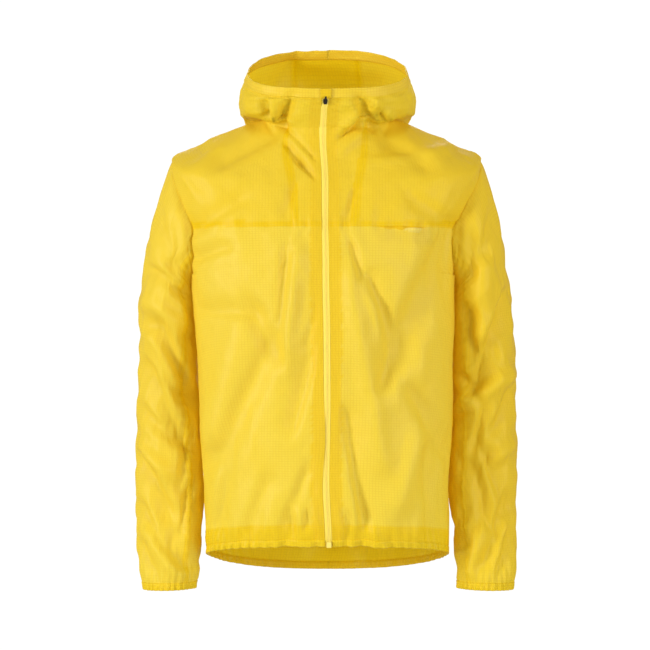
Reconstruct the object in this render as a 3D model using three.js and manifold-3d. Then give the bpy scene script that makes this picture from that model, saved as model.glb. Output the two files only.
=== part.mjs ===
// A hooded full-zip windbreaker in thin ripstop cloth, filled out as when worn, with nobody in it.
// Millimetres, +Z up, the front towards -Y, the wearer's left towards +X.
// The origin is the middle of the neck base, where the jacket rests on the wearer's shoulders.
import * as THREE from "three";
import Module from "manifold-3d";
import { mergeVertices } from "three/addons/utils/BufferGeometryUtils.js";

const wasm = await Module();
wasm.setup();

// Walls, seams and layers
const CLOTH = 1.6;
const SEAM_GAP = 0.4;
const LAYER_GAP = 0.35;
const BAND = 2;
const TAPE = 1.2;
const INSIDE = -(CLOTH + LAYER_GAP);
const BAND_OUTSIDE = (BAND - CLOTH) / 2;
const TAPE_OUTSIDE = -0.2;
const DEGREE = Math.PI / 180;

// Where the seams run. A height v is the distance up the side from the hem, along the cloth.
const HEM_BAND_TOP = 8;
const UNDERARM = 430;
const CHEST_SEAM = 500;
const SHOULDER_TIP = 600;
const NECK = 765;
const HOOD_HEM = 1010;
const RIM = 1024;
const ZIP_HALF = 5.5;
const FACING_WIDTH = 17;
const SIDE_SEAM = [80 * DEGREE, 90 * DEGREE];
const ARMHOLE_HALF_ANGLE = 26 * DEGREE;
const BACK_YOKE_NECK = 112 * DEGREE;
const HOOD_CENTRE = 158 * DEGREE;

// How many faces each panel has along its seams
const INSET_COLUMNS = 3;
const YOKE_COLUMNS = 7;
const NECK_SIDE_COLUMNS = 4;
const NECK_BACK_COLUMNS = 3;
const HOOD_CENTRE_COLUMNS = 4;
const BODY_ROWS = 15;
const ARMHOLE_PARTS = { front: 6, yoke: 11, back: 11 };
const INSET_ROWS = ARMHOLE_PARTS.yoke - NECK_SIDE_COLUMNS;
const HOOD_ROWS = 12;
const SLEEVE_ROWS = 17;

function table(columns, rows) {
  return rows.map((row) => Object.fromEntries(columns.map((name, i) => [name, row[i]])));
}

// Sections of the body, collar and hood, from the hem up. front, side and back are the heights of a
// section's three points, half its half width, fore and aft its depths, shift how far it lies to the
// wearer's left, sway how far the zip strays from that, square how boxy it is, and droop how late the
// back's height is reached on the way round.
const BODY = table(
  ["v", "front", "side", "back", "half", "fore", "aft", "shift", "sway", "square", "droop"],
  [
    [0, -649, -669, -702, 186, 108, 106, 1.5, 1.5, 2.4, 1.3],
    [30, -620, -638, -669, 188, 117, 113, 1, 0.5, 2.4, 1.2],
    [100, -552, -570, -595, 188.5, 123, 116, -1.5, 0, 2.4, 1],
    [210, -442, -460, -478, 195.5, 126, 112, -1.5, 1.5, 2.4, 1],
    [330, -325, -340, -352, 198, 128, 112, -3, 2.5, 2.4, 1],
    [430, -232, -240, -250, 201.5, 127, 118, -6, 4, 2.6, 1],
    [500, -165, -168, -180, 213, 118, 122, -4, 1, 2.9, 1],
    [600, -98, -63, -95, 237.5, 100, 113, -1, -2, 3, 1],
    [660, -72, -31, -60, 187, 90, 100, 0, -4, 2.7, 1],
    [715, -45, -7, -26, 132.5, 83, 86, 0, -6, 2.3, 1],
    [765, -18, 6, 6, 97, 80, 76, 1, -7.5, 2.1, 2.2],
    [800, -8, 9, -30, 111, 83, 101, 1, -7, 2.2, 2.4],
    [835, 0, 8, -85, 122, 86, 124, 1, -6.5, 2.3, 2.6],
    [870, 8, 9, -112, 131, 89, 156, 1, -6, 2.4, 2.6],
    [905, 14, 17, -85, 134, 92, 190, 1, -5.5, 2.5, 2.4],
    [940, 20, 34, -20, 135, 94, 206, 1, -4, 2.6, 2],
    [975, 25, 52, 55, 132.5, 96, 198, 0, -2.5, 2.7, 1.5],
    [1010, 29, 66, 114, 129, 97, 167, -0.5, -1.5, 2.7, 1.3],
    [1024, 42, 78.5, 127.5, 125, 100, 159, -0.5, -1.5, 2.7, 1.3],
  ],
);

// The seam where the yoke meets the hood's front, from the chest seam up to the side of the neck
const NECK_SEAM = table(
  ["v", "reach"],
  [
    [500, 49.6],
    [600, 55],
    [660, 62],
    [715, 70],
    [750, 77],
    [765, 84],
  ],
);

// Sections of the sleeves from the armhole down: how far out their outer and inner points are on the
// wearer's right and left, the heights of those points, and the section's middle and half depth
const SLEEVE = table(
  ["w", "outerRight", "outerLeft", "outerZ", "innerRight", "innerLeft", "innerZ", "midY", "halfY"],
  [
    [0, 241, 239, -60, 210, 202, -240, 4, 58],
    [18, 249, 249.5, -77, 211, 205, -243, 7, 66],
    [52, 259, 258, -108, 210.5, 203.5, -248, 11, 73],
    [95, 270, 267, -150, 209.5, 201, -258, 17, 77],
    [155, 282, 277, -210, 207, 198, -282, 24, 78],
    [230, 291, 287, -285, 204, 195, -322, 30, 74],
    [315, 293.5, 292.5, -370, 201, 194, -386, 32, 66],
    [415, 296, 294.5, -470, 196, 193.5, -473, 30, 57],
    [505, 297, 295, -560, 192, 189.5, -560, 21, 51],
    [577, 295.5, 294, -632, 195, 195.5, -632, 10, 46],
    [635, 291, 293, -690, 196.5, 199.5, -688, 0, 42],
    [668, 284, 288, -723, 204.5, 202.5, -721, -5, 35],
  ],
);
const SLEEVE_BLEND = 110;
const CUFF_TOP = 659;
const CUFF_END = 668;

// The largest folds, as strokes seen from the front or the back. Depth is outwards, so a trough is negative.
const FOLD = ["x1", "z1", "x2", "z2", "width", "depth"];
const FRONT_FOLDS = table(FOLD, [
  [-113, -300, -90, -350, 15, -5],
  [-90, -350, -162, -502, 19, -6],
  [-138, -337, -174, -472, 20, 4],
  [-45, -215, -60, -345, 15, 3],
  [-20, -361, -50, -463, 15, -5],
  [-33, -540, -60, -607, 14, -4],
  [-95, -560, -120, -625, 14, -3],
  [181, -195, 104, -348, 25, -8],
  [104, -352, 86, -392, 15, -5],
  [35, -255, 83, -517, 18, 4],
  [66, -246, 88, -321, 13, -4],
  [31, -456, 54, -603, 14, -5],
  [136, -425, 176, -500, 17, -5],
  [154, -514, 158, -625, 15, -4],
  [134, -502, 112, -575, 18, 4],
  [-76, -15, -24, -61, 11, -5],
  [-87, 24, -77, -12, 10, 5],
  [-62, 28, -58, 2, 12, -8],
  [60, 22, 58, -4, 12, -8],
  [18, -42, 52, -18, 11, -6],
]);
const BACK_FOLDS = table(FOLD, [
  [186, -205, 78, -335, 24, -7],
  [-184, -215, -84, -350, 24, -7],
  [70, -400, 92, -600, 19, -5],
  [-64, -420, -96, -610, 19, -5],
  [8, -250, -6, -420, 18, -4],
  [20, -470, 10, -640, 18, 4],
  [140, -450, 158, -620, 16, 4],
  [-146, -440, -160, -610, 16, 4],
  [-70, 40, 60, 20, 18, -7],
  [-40, 85, 72, 70, 16, 5],
]);
// Sleeve folds, with x measured outwards from the middle of the body
const RIGHT_SLEEVE_FOLDS = table(FOLD, [
  [253, -321, 212, -415, 16, -7],
  [276, -386, 226, -484, 15, -5],
  [288, -507, 256, -534, 13, 4],
  [288, -520, 246, -597, 14, -5],
  [246, -597, 224, -672, 14, -5],
  [232, -175, 226, -215, 12, -5],
  [282, -276, 238, -307, 15, 4],
]);
const LEFT_SLEEVE_FOLDS = table(FOLD, [
  [277, -273, 228, -395, 16, -8],
  [222, -190, 218, -225, 12, -5],
  [216, -300, 224, -380, 12, -4],
  [218, -430, 288, -388, 14, 5],
  [248, -524, 276, -594, 15, -5],
  [276, -594, 240, -680, 14, -4],
  [240, -230, 238, -323, 15, 4],
]);
const SLEEVE_BACK_FOLDS = table(FOLD, [
  [286, -300, 226, -390, 17, -7],
  [224, -400, 282, -450, 15, -5],
  [284, -470, 232, -540, 15, 5],
  [282, -560, 236, -640, 15, -5],
  [250, -140, 262, -230, 15, -4],
]);

// Zip, slider and pull tab
const GARAGE_HALF = 8.5;
const SLIDER = { width: 7, tall: 8.4, thick: 2.2, up: 24, standOff: 0.7, foot: 4.8, top: 2.8, shoulder: 0.9 };
const SLIDER_EAR = { width: 1.6, out: 3, tall: 4, hole: 0.95 };
const TAB = { tip: 2.4, lean: 0.9, long: 8.6, thick: 1.1, arm: 0.8, armLong: 3, pin: 0.55, joint: 0.2 };
const TAB_GAP = 0.45;
const ZIP_BOX = { width: 7, tall: 9, thick: 3, up: 4 };

// The chest pocket's mouth is in the chest seam on the wearer's left, between these columns of the seam
const POCKET_MOUTH = { from: 4, to: 7 };

// A smooth curve through a table's values that never overshoots them
function curveThrough(xs, ys) {
  const slopes = xs.slice(1).map((x, i) => (ys[i + 1] - ys[i]) / (x - xs[i]));
  const tangents = xs.map((_, i) => {
    if (i === 0) return slopes[0];
    if (i === xs.length - 1) return slopes[i - 1];
    const before = slopes[i - 1];
    const after = slopes[i];
    if (before * after <= 0) return 0;
    return (2 * before * after) / (before + after);
  });
  return (x) => {
    let i = 0;
    while (i < xs.length - 2 && x > xs[i + 1]) i += 1;
    const span = xs[i + 1] - xs[i];
    const s = Math.min(Math.max((x - xs[i]) / span, 0), 1);
    const a = (1 + 2 * s) * (1 - s) * (1 - s);
    const b = s * (1 - s) * (1 - s) * span;
    const c = s * s * (3 - 2 * s);
    const d = s * s * (s - 1) * span;
    return a * ys[i] + b * tangents[i] + c * ys[i + 1] + d * tangents[i + 1];
  };
}

function sectionsOf(rows) {
  const [along, ...columns] = Object.keys(rows[0]);
  const at = rows.map((row) => row[along]);
  const curves = columns.map((name) => [name, curveThrough(at, rows.map((row) => row[name]))]);
  return (x) => Object.fromEntries(curves.map(([name, curve]) => [name, curve(x)]));
}

const bodySection = sectionsOf(BODY);
const neckSeamSection = sectionsOf(NECK_SEAM);
const sleeveSection = sectionsOf(SLEEVE);

const mix = (a, b, s) => a + (b - a) * s;
function ease(from, to, x) {
  const s = Math.min(Math.max((x - from) / (to - from), 0), 1);
  return s * s * (3 - 2 * s);
}

// The bare form at an angle t round the body, from the centre front, and a height v
function bodyForm(t, v) {
  const s = bodySection(v);
  const ahead = Math.cos(t) > 0;
  const depth = ahead ? s.fore : s.aft;
  const angle = Math.atan2(s.half * Math.sin(t), depth * Math.cos(t));
  const reach =
    (Math.abs(Math.sin(angle) / s.half) ** s.square + Math.abs(Math.cos(angle) / depth) ** s.square) **
    (-1 / s.square);
  const y = -reach * Math.cos(angle);
  const rise = (Math.abs(y) / depth) ** (ahead ? 1 : s.droop);
  const nearZip = ahead ? Math.cos(t) ** 4 : 0;
  return new THREE.Vector3(
    s.shift + s.sway * nearZip + reach * Math.sin(angle),
    y,
    mix(s.side, ahead ? s.front : s.back, rise),
  );
}

// The angle at which a point lies a given distance from the centre front, sideways
function angleAt(reach, v) {
  return Math.atan(reach / bodySection(v).half);
}

function foldDepth(folds, x, z) {
  let sum = 0;
  for (const f of folds) {
    const dx = f.x2 - f.x1;
    const dz = f.z2 - f.z1;
    const s = Math.min(Math.max(((x - f.x1) * dx + (z - f.z1) * dz) / (dx * dx + dz * dz), 0), 1);
    const away = Math.hypot(x - f.x1 - s * dx, z - f.z1 - s * dz) / f.width;
    sum += f.depth * Math.exp(-away * away);
  }
  return sum;
}

// The normal of a surface at a point, from steps kept inside the panel's limits
function normalOf(surface, a, b, stepA, stepB, low, high) {
  const along = surface(a + stepA, b).sub(surface(a - stepA, b));
  const up = surface(a, Math.min(b + stepB, high)).sub(surface(a, Math.max(b - stepB, low)));
  return along.cross(up).normalize();
}

// Folds fade out this close to the neck seam, but for the part of it in front, where it has no seam
const NECK_CALM = 30;
const NECK_FRONT = { from: 0.5, to: 0.75 };
// How squarely the cloth must face the front or back to take the folds drawn there
const FACING = { from: 0.1, to: 0.55 };
const SLEEVE_FACING = { from: 0.15, to: 0.6 };
// How far the sleeves' folds keep from the armhole and from the cuff's end
const SLEEVE_CALM = { armhole: 55, cuff: 40 };
// Steps for working out normals
const ANGLE_STEP = 1.2 * DEGREE;
const HEIGHT_STEP = 4;
const SAMPLE_STEP = 0.5;

// A body point with the folds pressed into it. Panels below and above the neck each keep to their side.
function bodySurface(low, high) {
  return (t, v) => {
    const at = bodyForm(t, v);
    const normal = normalOf(bodyForm, t, v, ANGLE_STEP, HEIGHT_STEP, low, high);
    const front = foldDepth(FRONT_FOLDS, at.x, at.z) * ease(FACING.from, FACING.to, -normal.y);
    const back = foldDepth(BACK_FOLDS, at.x, at.z) * ease(FACING.from, FACING.to, normal.y);
    const besideIt = ease(FACING_WIDTH / 2, 2 * FACING_WIDTH, Math.abs(at.x));
    const inFront = ease(NECK_FRONT.from, NECK_FRONT.to, Math.cos(t));
    const offNeck = Math.max(ease(0, NECK_CALM, Math.abs(v - NECK)), inFront);
    return at.addScaledVector(normal, (front * besideIt + back) * offNeck);
  };
}

const below = { surface: bodySurface(0, NECK), low: 0, high: NECK };
const above = { surface: bodySurface(NECK, RIM), low: NECK, high: RIM };

function bodyVertex(zone, t, v) {
  return {
    at: zone.surface(t, v),
    out: normalOf(zone.surface, t, v, ANGLE_STEP, HEIGHT_STEP, zone.low, zone.high),
  };
}

// A sheet of cloth is a set of four-sided faces whose corners are shared by name
function newSheet() {
  return { names: new Map(), corners: [], faces: [] };
}

function addGrid(sheet, columns, rows, keyOf, vertexOf) {
  const corner = (i, j) => {
    const key = keyOf(i, j);
    if (!sheet.names.has(key)) {
      sheet.names.set(key, sheet.corners.length);
      sheet.corners.push(vertexOf(i, j));
    }
    return sheet.names.get(key);
  };
  for (let j = 0; j < rows; j += 1) {
    for (let i = 0; i < columns; i += 1) {
      sheet.faces.push([corner(i, j), corner(i + 1, j), corner(i + 1, j + 1), corner(i, j + 1)]);
    }
  }
  return sheet;
}

function freeEdges(sheet) {
  const edges = new Map();
  sheet.faces.forEach((face, f) => {
    face.forEach((a, i) => edges.set(`${a},${face[(i + 1) % 4]}`, [a, face[(i + 1) % 4], f]));
  });
  return [...edges.values()].filter(([a, b]) => !edges.has(`${b},${a}`));
}

// Draws a sheet's free edges in by half the seam gap, along the cloth. At a corner both edges pull, and
// the pull is kept in bounds however sharp the corner is.
const SHARPEST_CORNER = 0.35;
function drawnIn(sheet, edges, inset) {
  const pulls = new Map();
  for (const [a, b, f] of edges) {
    const start = sheet.corners[a].at;
    const end = sheet.corners[b].at;
    const middle = new THREE.Vector3();
    sheet.faces[f].forEach((c) => middle.addScaledVector(sheet.corners[c].at, 0.25));
    const along = end.clone().sub(start).normalize();
    const inward = middle.sub(start);
    inward.addScaledVector(along, -inward.dot(along)).normalize();
    for (const c of [a, b]) {
      if (!pulls.has(c)) pulls.set(c, []);
      pulls.get(c).push(inward);
    }
  }
  return sheet.corners.map((corner, c) => {
    const pull = pulls.get(c);
    if (!pull) return corner.at.clone();
    const sum = pull.reduce((total, p) => total.add(p), new THREE.Vector3());
    const share = Math.max(sum.dot(pull[0]), SHARPEST_CORNER);
    return corner.at.clone().addScaledVector(sum, inset / share);
  });
}

function geometryOf(points, triangles) {
  const geometry = new THREE.BufferGeometry();
  const flat = points.flatMap((p) => [p.x, p.y, p.z]);
  geometry.setAttribute("position", new THREE.Float32BufferAttribute(flat, 3));
  geometry.setIndex(triangles.flat());
  return geometry;
}

function volumeOf(points, triangles) {
  return triangles.reduce((sum, [a, b, c]) => {
    const cross = points[b].clone().cross(points[c]);
    return sum + points[a].dot(cross) / 6;
  }, 0);
}

// Turns a sheet into a closed wall. outside is how far its outer face stands off the sheet.
function wallOf(sheet, thickness = CLOTH, outside = 0, inset = SEAM_GAP / 2) {
  const edges = freeEdges(sheet);
  const middle = drawnIn(sheet, edges, inset);
  const outs = sheet.corners.map((corner) => corner.out);
  const outer = middle.map((p, i) => p.clone().addScaledVector(outs[i], outside));
  const inner = middle.map((p, i) => p.clone().addScaledVector(outs[i], outside - thickness));
  const points = [...outer, ...inner];
  const count = outer.length;
  const triangles = [];
  for (const [a, b, c, d] of sheet.faces) {
    triangles.push([a, b, c], [a, c, d]);
    triangles.push([a + count, c + count, b + count], [a + count, d + count, c + count]);
  }
  for (const [a, b] of edges) {
    triangles.push([b, a, a + count], [b, a + count, b + count]);
  }
  const turned = volumeOf(points, triangles) < 0;
  return geometryOf(points, turned ? triangles.map(([a, b, c]) => [a, c, b]) : triangles);
}

// The armhole is a loop round the side of the body. Its samples start at the underarm and go up the front.
const ARMHOLE_COUNT = ARMHOLE_PARTS.front + ARMHOLE_PARTS.yoke + ARMHOLE_PARTS.back;
const CHEST_SAMPLE = ARMHOLE_PARTS.front;
const BACK_YOKE_SAMPLE = ARMHOLE_PARTS.front + ARMHOLE_PARTS.yoke;

function armholeAngle(k) {
  return -Math.PI + (2 * Math.PI * k) / ARMHOLE_COUNT;
}

function armhole(k) {
  const turn = armholeAngle(k);
  return [
    Math.PI / 2 + ARMHOLE_HALF_ANGLE * Math.sin(turn),
    mix(UNDERARM, SHOULDER_TIP, (1 + Math.cos(turn)) / 2),
  ];
}

function sideSeam(v) {
  const rise = v / UNDERARM;
  return mix(SIDE_SEAM[0], SIDE_SEAM[1], rise * rise);
}

const CHEST_AT_ARMHOLE = armhole(CHEST_SAMPLE);
const insetRowHeight = (j) => mix(CHEST_SEAM, NECK, j / INSET_ROWS);
const bodyRowHeight = (j) =>
  j <= BODY_ROWS
    ? mix(HEM_BAND_TOP, UNDERARM, j / BODY_ROWS)
    : mix(UNDERARM, CHEST_SEAM, (j - BODY_ROWS) / ARMHOLE_PARTS.front);
const hoodRowHeight = (j) => mix(NECK, HOOD_HEM, j / HOOD_ROWS);

function neckSeamAngle(v) {
  return angleAt(neckSeamSection(v).reach, v);
}

// The angle of a panel's column beside the zip. The first column is as wide as the zip's facing.
function besideZip(i, v, columns, end) {
  if (i < 2) return angleAt(ZIP_HALF + i * FACING_WIDTH, v);
  return mix(angleAt(ZIP_HALF + FACING_WIDTH, v), end, (i - 1) / (columns - 1));
}

// Points along the chest seam, from the zip to the armhole
function chestSeam(i) {
  const start = neckSeamAngle(CHEST_SEAM);
  if (i <= INSET_COLUMNS) return [besideZip(i, CHEST_SEAM, INSET_COLUMNS, start), CHEST_SEAM];
  const share = (i - INSET_COLUMNS) / YOKE_COLUMNS;
  return [mix(start, CHEST_AT_ARMHOLE[0], share), mix(CHEST_SEAM, CHEST_AT_ARMHOLE[1], share * share)];
}

// Points along the yoke's neck edge, from the chest seam to the back of the neck
function neckEdge(j) {
  if (j <= INSET_ROWS) {
    const v = insetRowHeight(j);
    return [neckSeamAngle(v), v];
  }
  return [mix(neckSeamAngle(NECK), BACK_YOKE_NECK, (j - INSET_ROWS) / NECK_SIDE_COLUMNS), NECK];
}

// The seam between yoke and back, from the neck to the armhole
function backYokeSeam(i) {
  const end = armhole(BACK_YOKE_SAMPLE);
  const share = i / YOKE_COLUMNS;
  return [mix(BACK_YOKE_NECK, end[0], share), mix(NECK, end[1], share)];
}

// A grid whose four edges are given, filled in smoothly between them
function coons(columns, rows, bottom, top, left, right) {
  return (i, j) => {
    const s = i / columns;
    const r = j / rows;
    return [0, 1].map(
      (axis) =>
        mix(bottom(i)[axis], top(i)[axis], r) +
        mix(left(j)[axis], right(j)[axis], s) -
        mix(mix(bottom(0)[axis], bottom(columns)[axis], s), mix(top(0)[axis], top(columns)[axis], s), r),
    );
  };
}

// Places this close together are one corner
const SAME = { angle: 1e-6, height: 1e-4 };
const keyOfPlace = ([t, v]) => `${Math.round(t / SAME.angle)},${Math.round(v / SAME.height)}`;

function addPanel(sheet, zone, side, columns, rows, placeOf) {
  return addGrid(
    sheet,
    columns,
    rows,
    (i, j) => keyOfPlace(placeOf(i, j)),
    (i, j) => {
      const [t, v] = placeOf(i, j);
      return bodyVertex(zone, side * t, v);
    },
  );
}

const FRONT_COLUMNS = INSET_COLUMNS + YOKE_COLUMNS;
const FRONT_ROWS = BODY_ROWS + ARMHOLE_PARTS.front;

function frontEdge(j) {
  if (j <= BODY_ROWS) return [sideSeam(bodyRowHeight(j)), bodyRowHeight(j)];
  return armhole(j - BODY_ROWS);
}

function frontPlace(i, j) {
  const v = bodyRowHeight(j);
  const near = besideZip(Math.min(i, 1), v, FRONT_COLUMNS, 0);
  if (i < 2) return [near, v];
  const edge = frontEdge(j);
  const top = chestSeam(i);
  const topNear = chestSeam(1)[0];
  const even = (i - 1) / (FRONT_COLUMNS - 1);
  const topShare = (top[0] - topNear) / (CHEST_AT_ARMHOLE[0] - topNear);
  const share = mix(even, topShare, (j / FRONT_ROWS) ** 2);
  const rise = j === FRONT_ROWS ? top[1] : mix(v, edge[1], share * share);
  return [mix(near, edge[0], share), rise];
}

function lowerFront(side) {
  return wallOf(addPanel(newSheet(), below, side, FRONT_COLUMNS, FRONT_ROWS, frontPlace));
}

function yoke(side) {
  const place = coons(
    YOKE_COLUMNS,
    ARMHOLE_PARTS.yoke,
    (i) => chestSeam(INSET_COLUMNS + i),
    backYokeSeam,
    neckEdge,
    (j) => armhole(CHEST_SAMPLE + j),
  );
  return wallOf(addPanel(newSheet(), below, side, YOKE_COLUMNS, ARMHOLE_PARTS.yoke, place));
}

const BACK_MIDDLE_COLUMNS = 2 * NECK_BACK_COLUMNS + HOOD_CENTRE_COLUMNS;
const BACK_COLUMNS = 2 * YOKE_COLUMNS + BACK_MIDDLE_COLUMNS;

// Angles round the back of the neck, where the hood's panels meet the back
function neckBackAngle(i) {
  if (i <= NECK_BACK_COLUMNS) return mix(BACK_YOKE_NECK, HOOD_CENTRE, i / NECK_BACK_COLUMNS);
  const rest = i - NECK_BACK_COLUMNS;
  if (rest <= HOOD_CENTRE_COLUMNS) {
    return mix(HOOD_CENTRE, 2 * Math.PI - HOOD_CENTRE, rest / HOOD_CENTRE_COLUMNS);
  }
  return 2 * Math.PI - neckBackAngle(BACK_MIDDLE_COLUMNS - i);
}

function backTop(i) {
  if (i <= YOKE_COLUMNS) return backYokeSeam(YOKE_COLUMNS - i);
  if (i <= YOKE_COLUMNS + BACK_MIDDLE_COLUMNS) return [neckBackAngle(i - YOKE_COLUMNS), NECK];
  const [t, v] = backYokeSeam(i - YOKE_COLUMNS - BACK_MIDDLE_COLUMNS);
  return [2 * Math.PI - t, v];
}

function back() {
  const sheet = newSheet();
  const around = (i, v) => mix(sideSeam(v), 2 * Math.PI - sideSeam(v), i / BACK_COLUMNS);
  addPanel(sheet, below, 1, BACK_COLUMNS, BODY_ROWS, (i, j) => {
    const v = bodyRowHeight(j);
    return [around(i, v), v];
  });
  const edge = (j) => armhole(ARMHOLE_COUNT - j);
  const upper = coons(
    BACK_COLUMNS,
    ARMHOLE_PARTS.back,
    (i) => [around(i, UNDERARM), UNDERARM],
    backTop,
    edge,
    (j) => [2 * Math.PI - edge(j)[0], edge(j)[1]],
  );
  addPanel(sheet, below, 1, BACK_COLUMNS, ARMHOLE_PARTS.back, upper);
  return wallOf(sheet);
}

// Angles round the hood, from the zip to the seam of its centre panel
const HOOD_COLUMNS = INSET_COLUMNS + NECK_SIDE_COLUMNS + NECK_BACK_COLUMNS;
function hoodAngle(i, v) {
  const neck = neckSeamAngle(NECK);
  if (i <= INSET_COLUMNS) return besideZip(i, v, INSET_COLUMNS, neck);
  if (i <= INSET_COLUMNS + NECK_SIDE_COLUMNS) {
    return mix(neck, BACK_YOKE_NECK, (i - INSET_COLUMNS) / NECK_SIDE_COLUMNS);
  }
  return neckBackAngle(i - INSET_COLUMNS - NECK_SIDE_COLUMNS);
}

function hoodSide(side) {
  const sheet = newSheet();
  addPanel(sheet, below, side, INSET_COLUMNS, INSET_ROWS, (i, j) => {
    const v = insetRowHeight(j);
    return [besideZip(i, v, INSET_COLUMNS, neckSeamAngle(v)), v];
  });
  addPanel(sheet, above, side, HOOD_COLUMNS, HOOD_ROWS, (i, j) => [
    hoodAngle(i, hoodRowHeight(j)),
    hoodRowHeight(j),
  ]);
  return wallOf(sheet);
}

function hoodCentre() {
  return wallOf(
    addPanel(newSheet(), above, 1, HOOD_CENTRE_COLUMNS, HOOD_ROWS, (i, j) => [
      neckBackAngle(NECK_BACK_COLUMNS + i),
      hoodRowHeight(j),
    ]),
  );
}

// The doubled band round the hood's opening, from one side of the zip to the other
function hoodHem() {
  const columns = 2 * HOOD_COLUMNS + HOOD_CENTRE_COLUMNS;
  const angleOf = (i, v) => {
    if (i <= HOOD_COLUMNS) return hoodAngle(i, v);
    if (i <= HOOD_COLUMNS + HOOD_CENTRE_COLUMNS) return neckBackAngle(NECK_BACK_COLUMNS + i - HOOD_COLUMNS);
    return 2 * Math.PI - hoodAngle(columns - i, v);
  };
  const sheet = addPanel(newSheet(), above, 1, columns, 1, (i, j) => {
    const v = mix(HOOD_HEM, RIM, j);
    return [angleOf(i, v), v];
  });
  return wallOf(sheet, BAND, BAND_OUTSIDE);
}

// The elastic band round the hem, in the same columns as the panels above it
function hemBand() {
  const columns = 2 * FRONT_COLUMNS + BACK_COLUMNS;
  const angleOf = (i, v) => {
    const seam = sideSeam(HEM_BAND_TOP);
    if (i <= FRONT_COLUMNS) return besideZip(i, v, FRONT_COLUMNS, seam);
    if (i <= FRONT_COLUMNS + BACK_COLUMNS) {
      return mix(seam, 2 * Math.PI - seam, (i - FRONT_COLUMNS) / BACK_COLUMNS);
    }
    return 2 * Math.PI - besideZip(columns - i, v, FRONT_COLUMNS, seam);
  };
  const sheet = addPanel(newSheet(), below, 1, columns, 1, (i, j) => {
    const v = j * HEM_BAND_TOP;
    return [angleOf(i, v), v];
  });
  return wallOf(sheet, BAND, BAND_OUTSIDE);
}

// The bare form of a sleeve at an angle round it and a distance w down it
function sleeveForm(side, k, w) {
  const turn = armholeAngle(k);
  const s = sleeveSection(w);
  const share = (1 + Math.cos(turn)) / 2;
  const ring = new THREE.Vector3(
    side > 0 ? mix(s.innerLeft, s.outerLeft, share) : -mix(s.innerRight, s.outerRight, share),
    s.midY + s.halfY * Math.sin(turn),
    mix(s.innerZ, s.outerZ, share),
  );
  const [t, v] = armhole(k);
  const start = below.surface(side * t, v);
  return start.lerp(ring, ease(0, SLEEVE_BLEND, w));
}

function sleeveSurface(side) {
  const folds = side > 0 ? LEFT_SLEEVE_FOLDS : RIGHT_SLEEVE_FOLDS;
  const form = (k, w) => sleeveForm(side, k, w);
  return (k, w) => {
    const at = form(k, w);
    const normal = normalOf(form, k, w, SAMPLE_STEP, HEIGHT_STEP, 0, CUFF_END).multiplyScalar(-side);
    const ahead = ease(SLEEVE_FACING.from, SLEEVE_FACING.to, -normal.y);
    const behind = ease(SLEEVE_FACING.from, SLEEVE_FACING.to, normal.y);
    const depth =
      foldDepth(folds, side * at.x, at.z) * ahead +
      foldDepth(SLEEVE_BACK_FOLDS, side * at.x, at.z) * behind;
    const fade = ease(0, SLEEVE_CALM.armhole, w) * ease(CUFF_END, CUFF_END - SLEEVE_CALM.cuff, w);
    return at.addScaledVector(normal, depth * fade);
  };
}

function sleeveTube(side, from, to, rows) {
  const surface = sleeveSurface(side);
  return addGrid(
    newSheet(),
    ARMHOLE_COUNT,
    rows,
    (i, j) => `${i % ARMHOLE_COUNT},${j}`,
    (i, j) => {
      const w = mix(from, to, j / rows);
      return {
        at: surface(i, w),
        out: normalOf(surface, i, w, SAMPLE_STEP, HEIGHT_STEP, 0, CUFF_END).multiplyScalar(-side),
      };
    },
  );
}

// A strip up the front beside the zip, from the hem to the hood's hem, between two distances from it
function zipStrip(side, near, far) {
  const heights = [
    ...Array.from({ length: FRONT_ROWS }, (_, j) => bodyRowHeight(j)),
    ...Array.from({ length: INSET_ROWS + 1 }, (_, j) => insetRowHeight(j)),
  ];
  const place = (i, v) => [angleAt(i ? far : near, v), v];
  const low = addPanel(newSheet(), below, side, 1, heights.length - 1, (i, j) => place(i, heights[j]));
  return addPanel(low, above, side, 1, HOOD_ROWS, (i, j) => place(i, hoodRowHeight(j)));
}

// The small folded piece over the zip's top end, on the outside of the hood's hem
function zipGarage() {
  const sheet = addPanel(newSheet(), above, 1, 2, 1, (i, j) => {
    const v = mix(HOOD_HEM, RIM, j);
    return [angleAt((i - 1) * GARAGE_HALF, v), v];
  });
  return wallOf(sheet, TAPE, BAND_OUTSIDE + LAYER_GAP + TAPE);
}

// The strip behind the gaping mouth of the chest pocket, from the front's own points
function pocketFacing() {
  const sheet = addPanel(newSheet(), below, 1, POCKET_MOUTH.to - POCKET_MOUTH.from, 1, (i, j) =>
    frontPlace(POCKET_MOUTH.from + i, FRONT_ROWS - 1 + j),
  );
  return wallOf(sheet, TAPE, INSIDE);
}

// Solids made by joining simple shapes
const SAME_POINT = 1e-4;
function solidOf(geometry) {
  const bare = geometry.clone();
  bare.deleteAttribute("normal");
  bare.deleteAttribute("uv");
  const merged = mergeVertices(bare, SAME_POINT);
  return new wasm.Manifold(
    new wasm.Mesh({
      numProp: 3,
      vertProperties: new Float32Array(merged.attributes.position.array),
      triVerts: new Uint32Array(merged.index.array),
    }),
  );
}

function geometryOfSolid(solid) {
  const mesh = solid.getMesh();
  const geometry = new THREE.BufferGeometry();
  geometry.setAttribute("position", new THREE.Float32BufferAttribute(mesh.vertProperties, 3));
  geometry.setIndex([...mesh.triVerts]);
  return geometry;
}

const block = (x, y, z, cx, cy, cz) => new THREE.BoxGeometry(x, y, z).translate(cx, cy, cz);
const PIN_SIDES = 16;
const crossPin = (radius, length) =>
  new THREE.CylinderGeometry(radius, radius, length, PIN_SIDES).rotateZ(Math.PI / 2);

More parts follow.
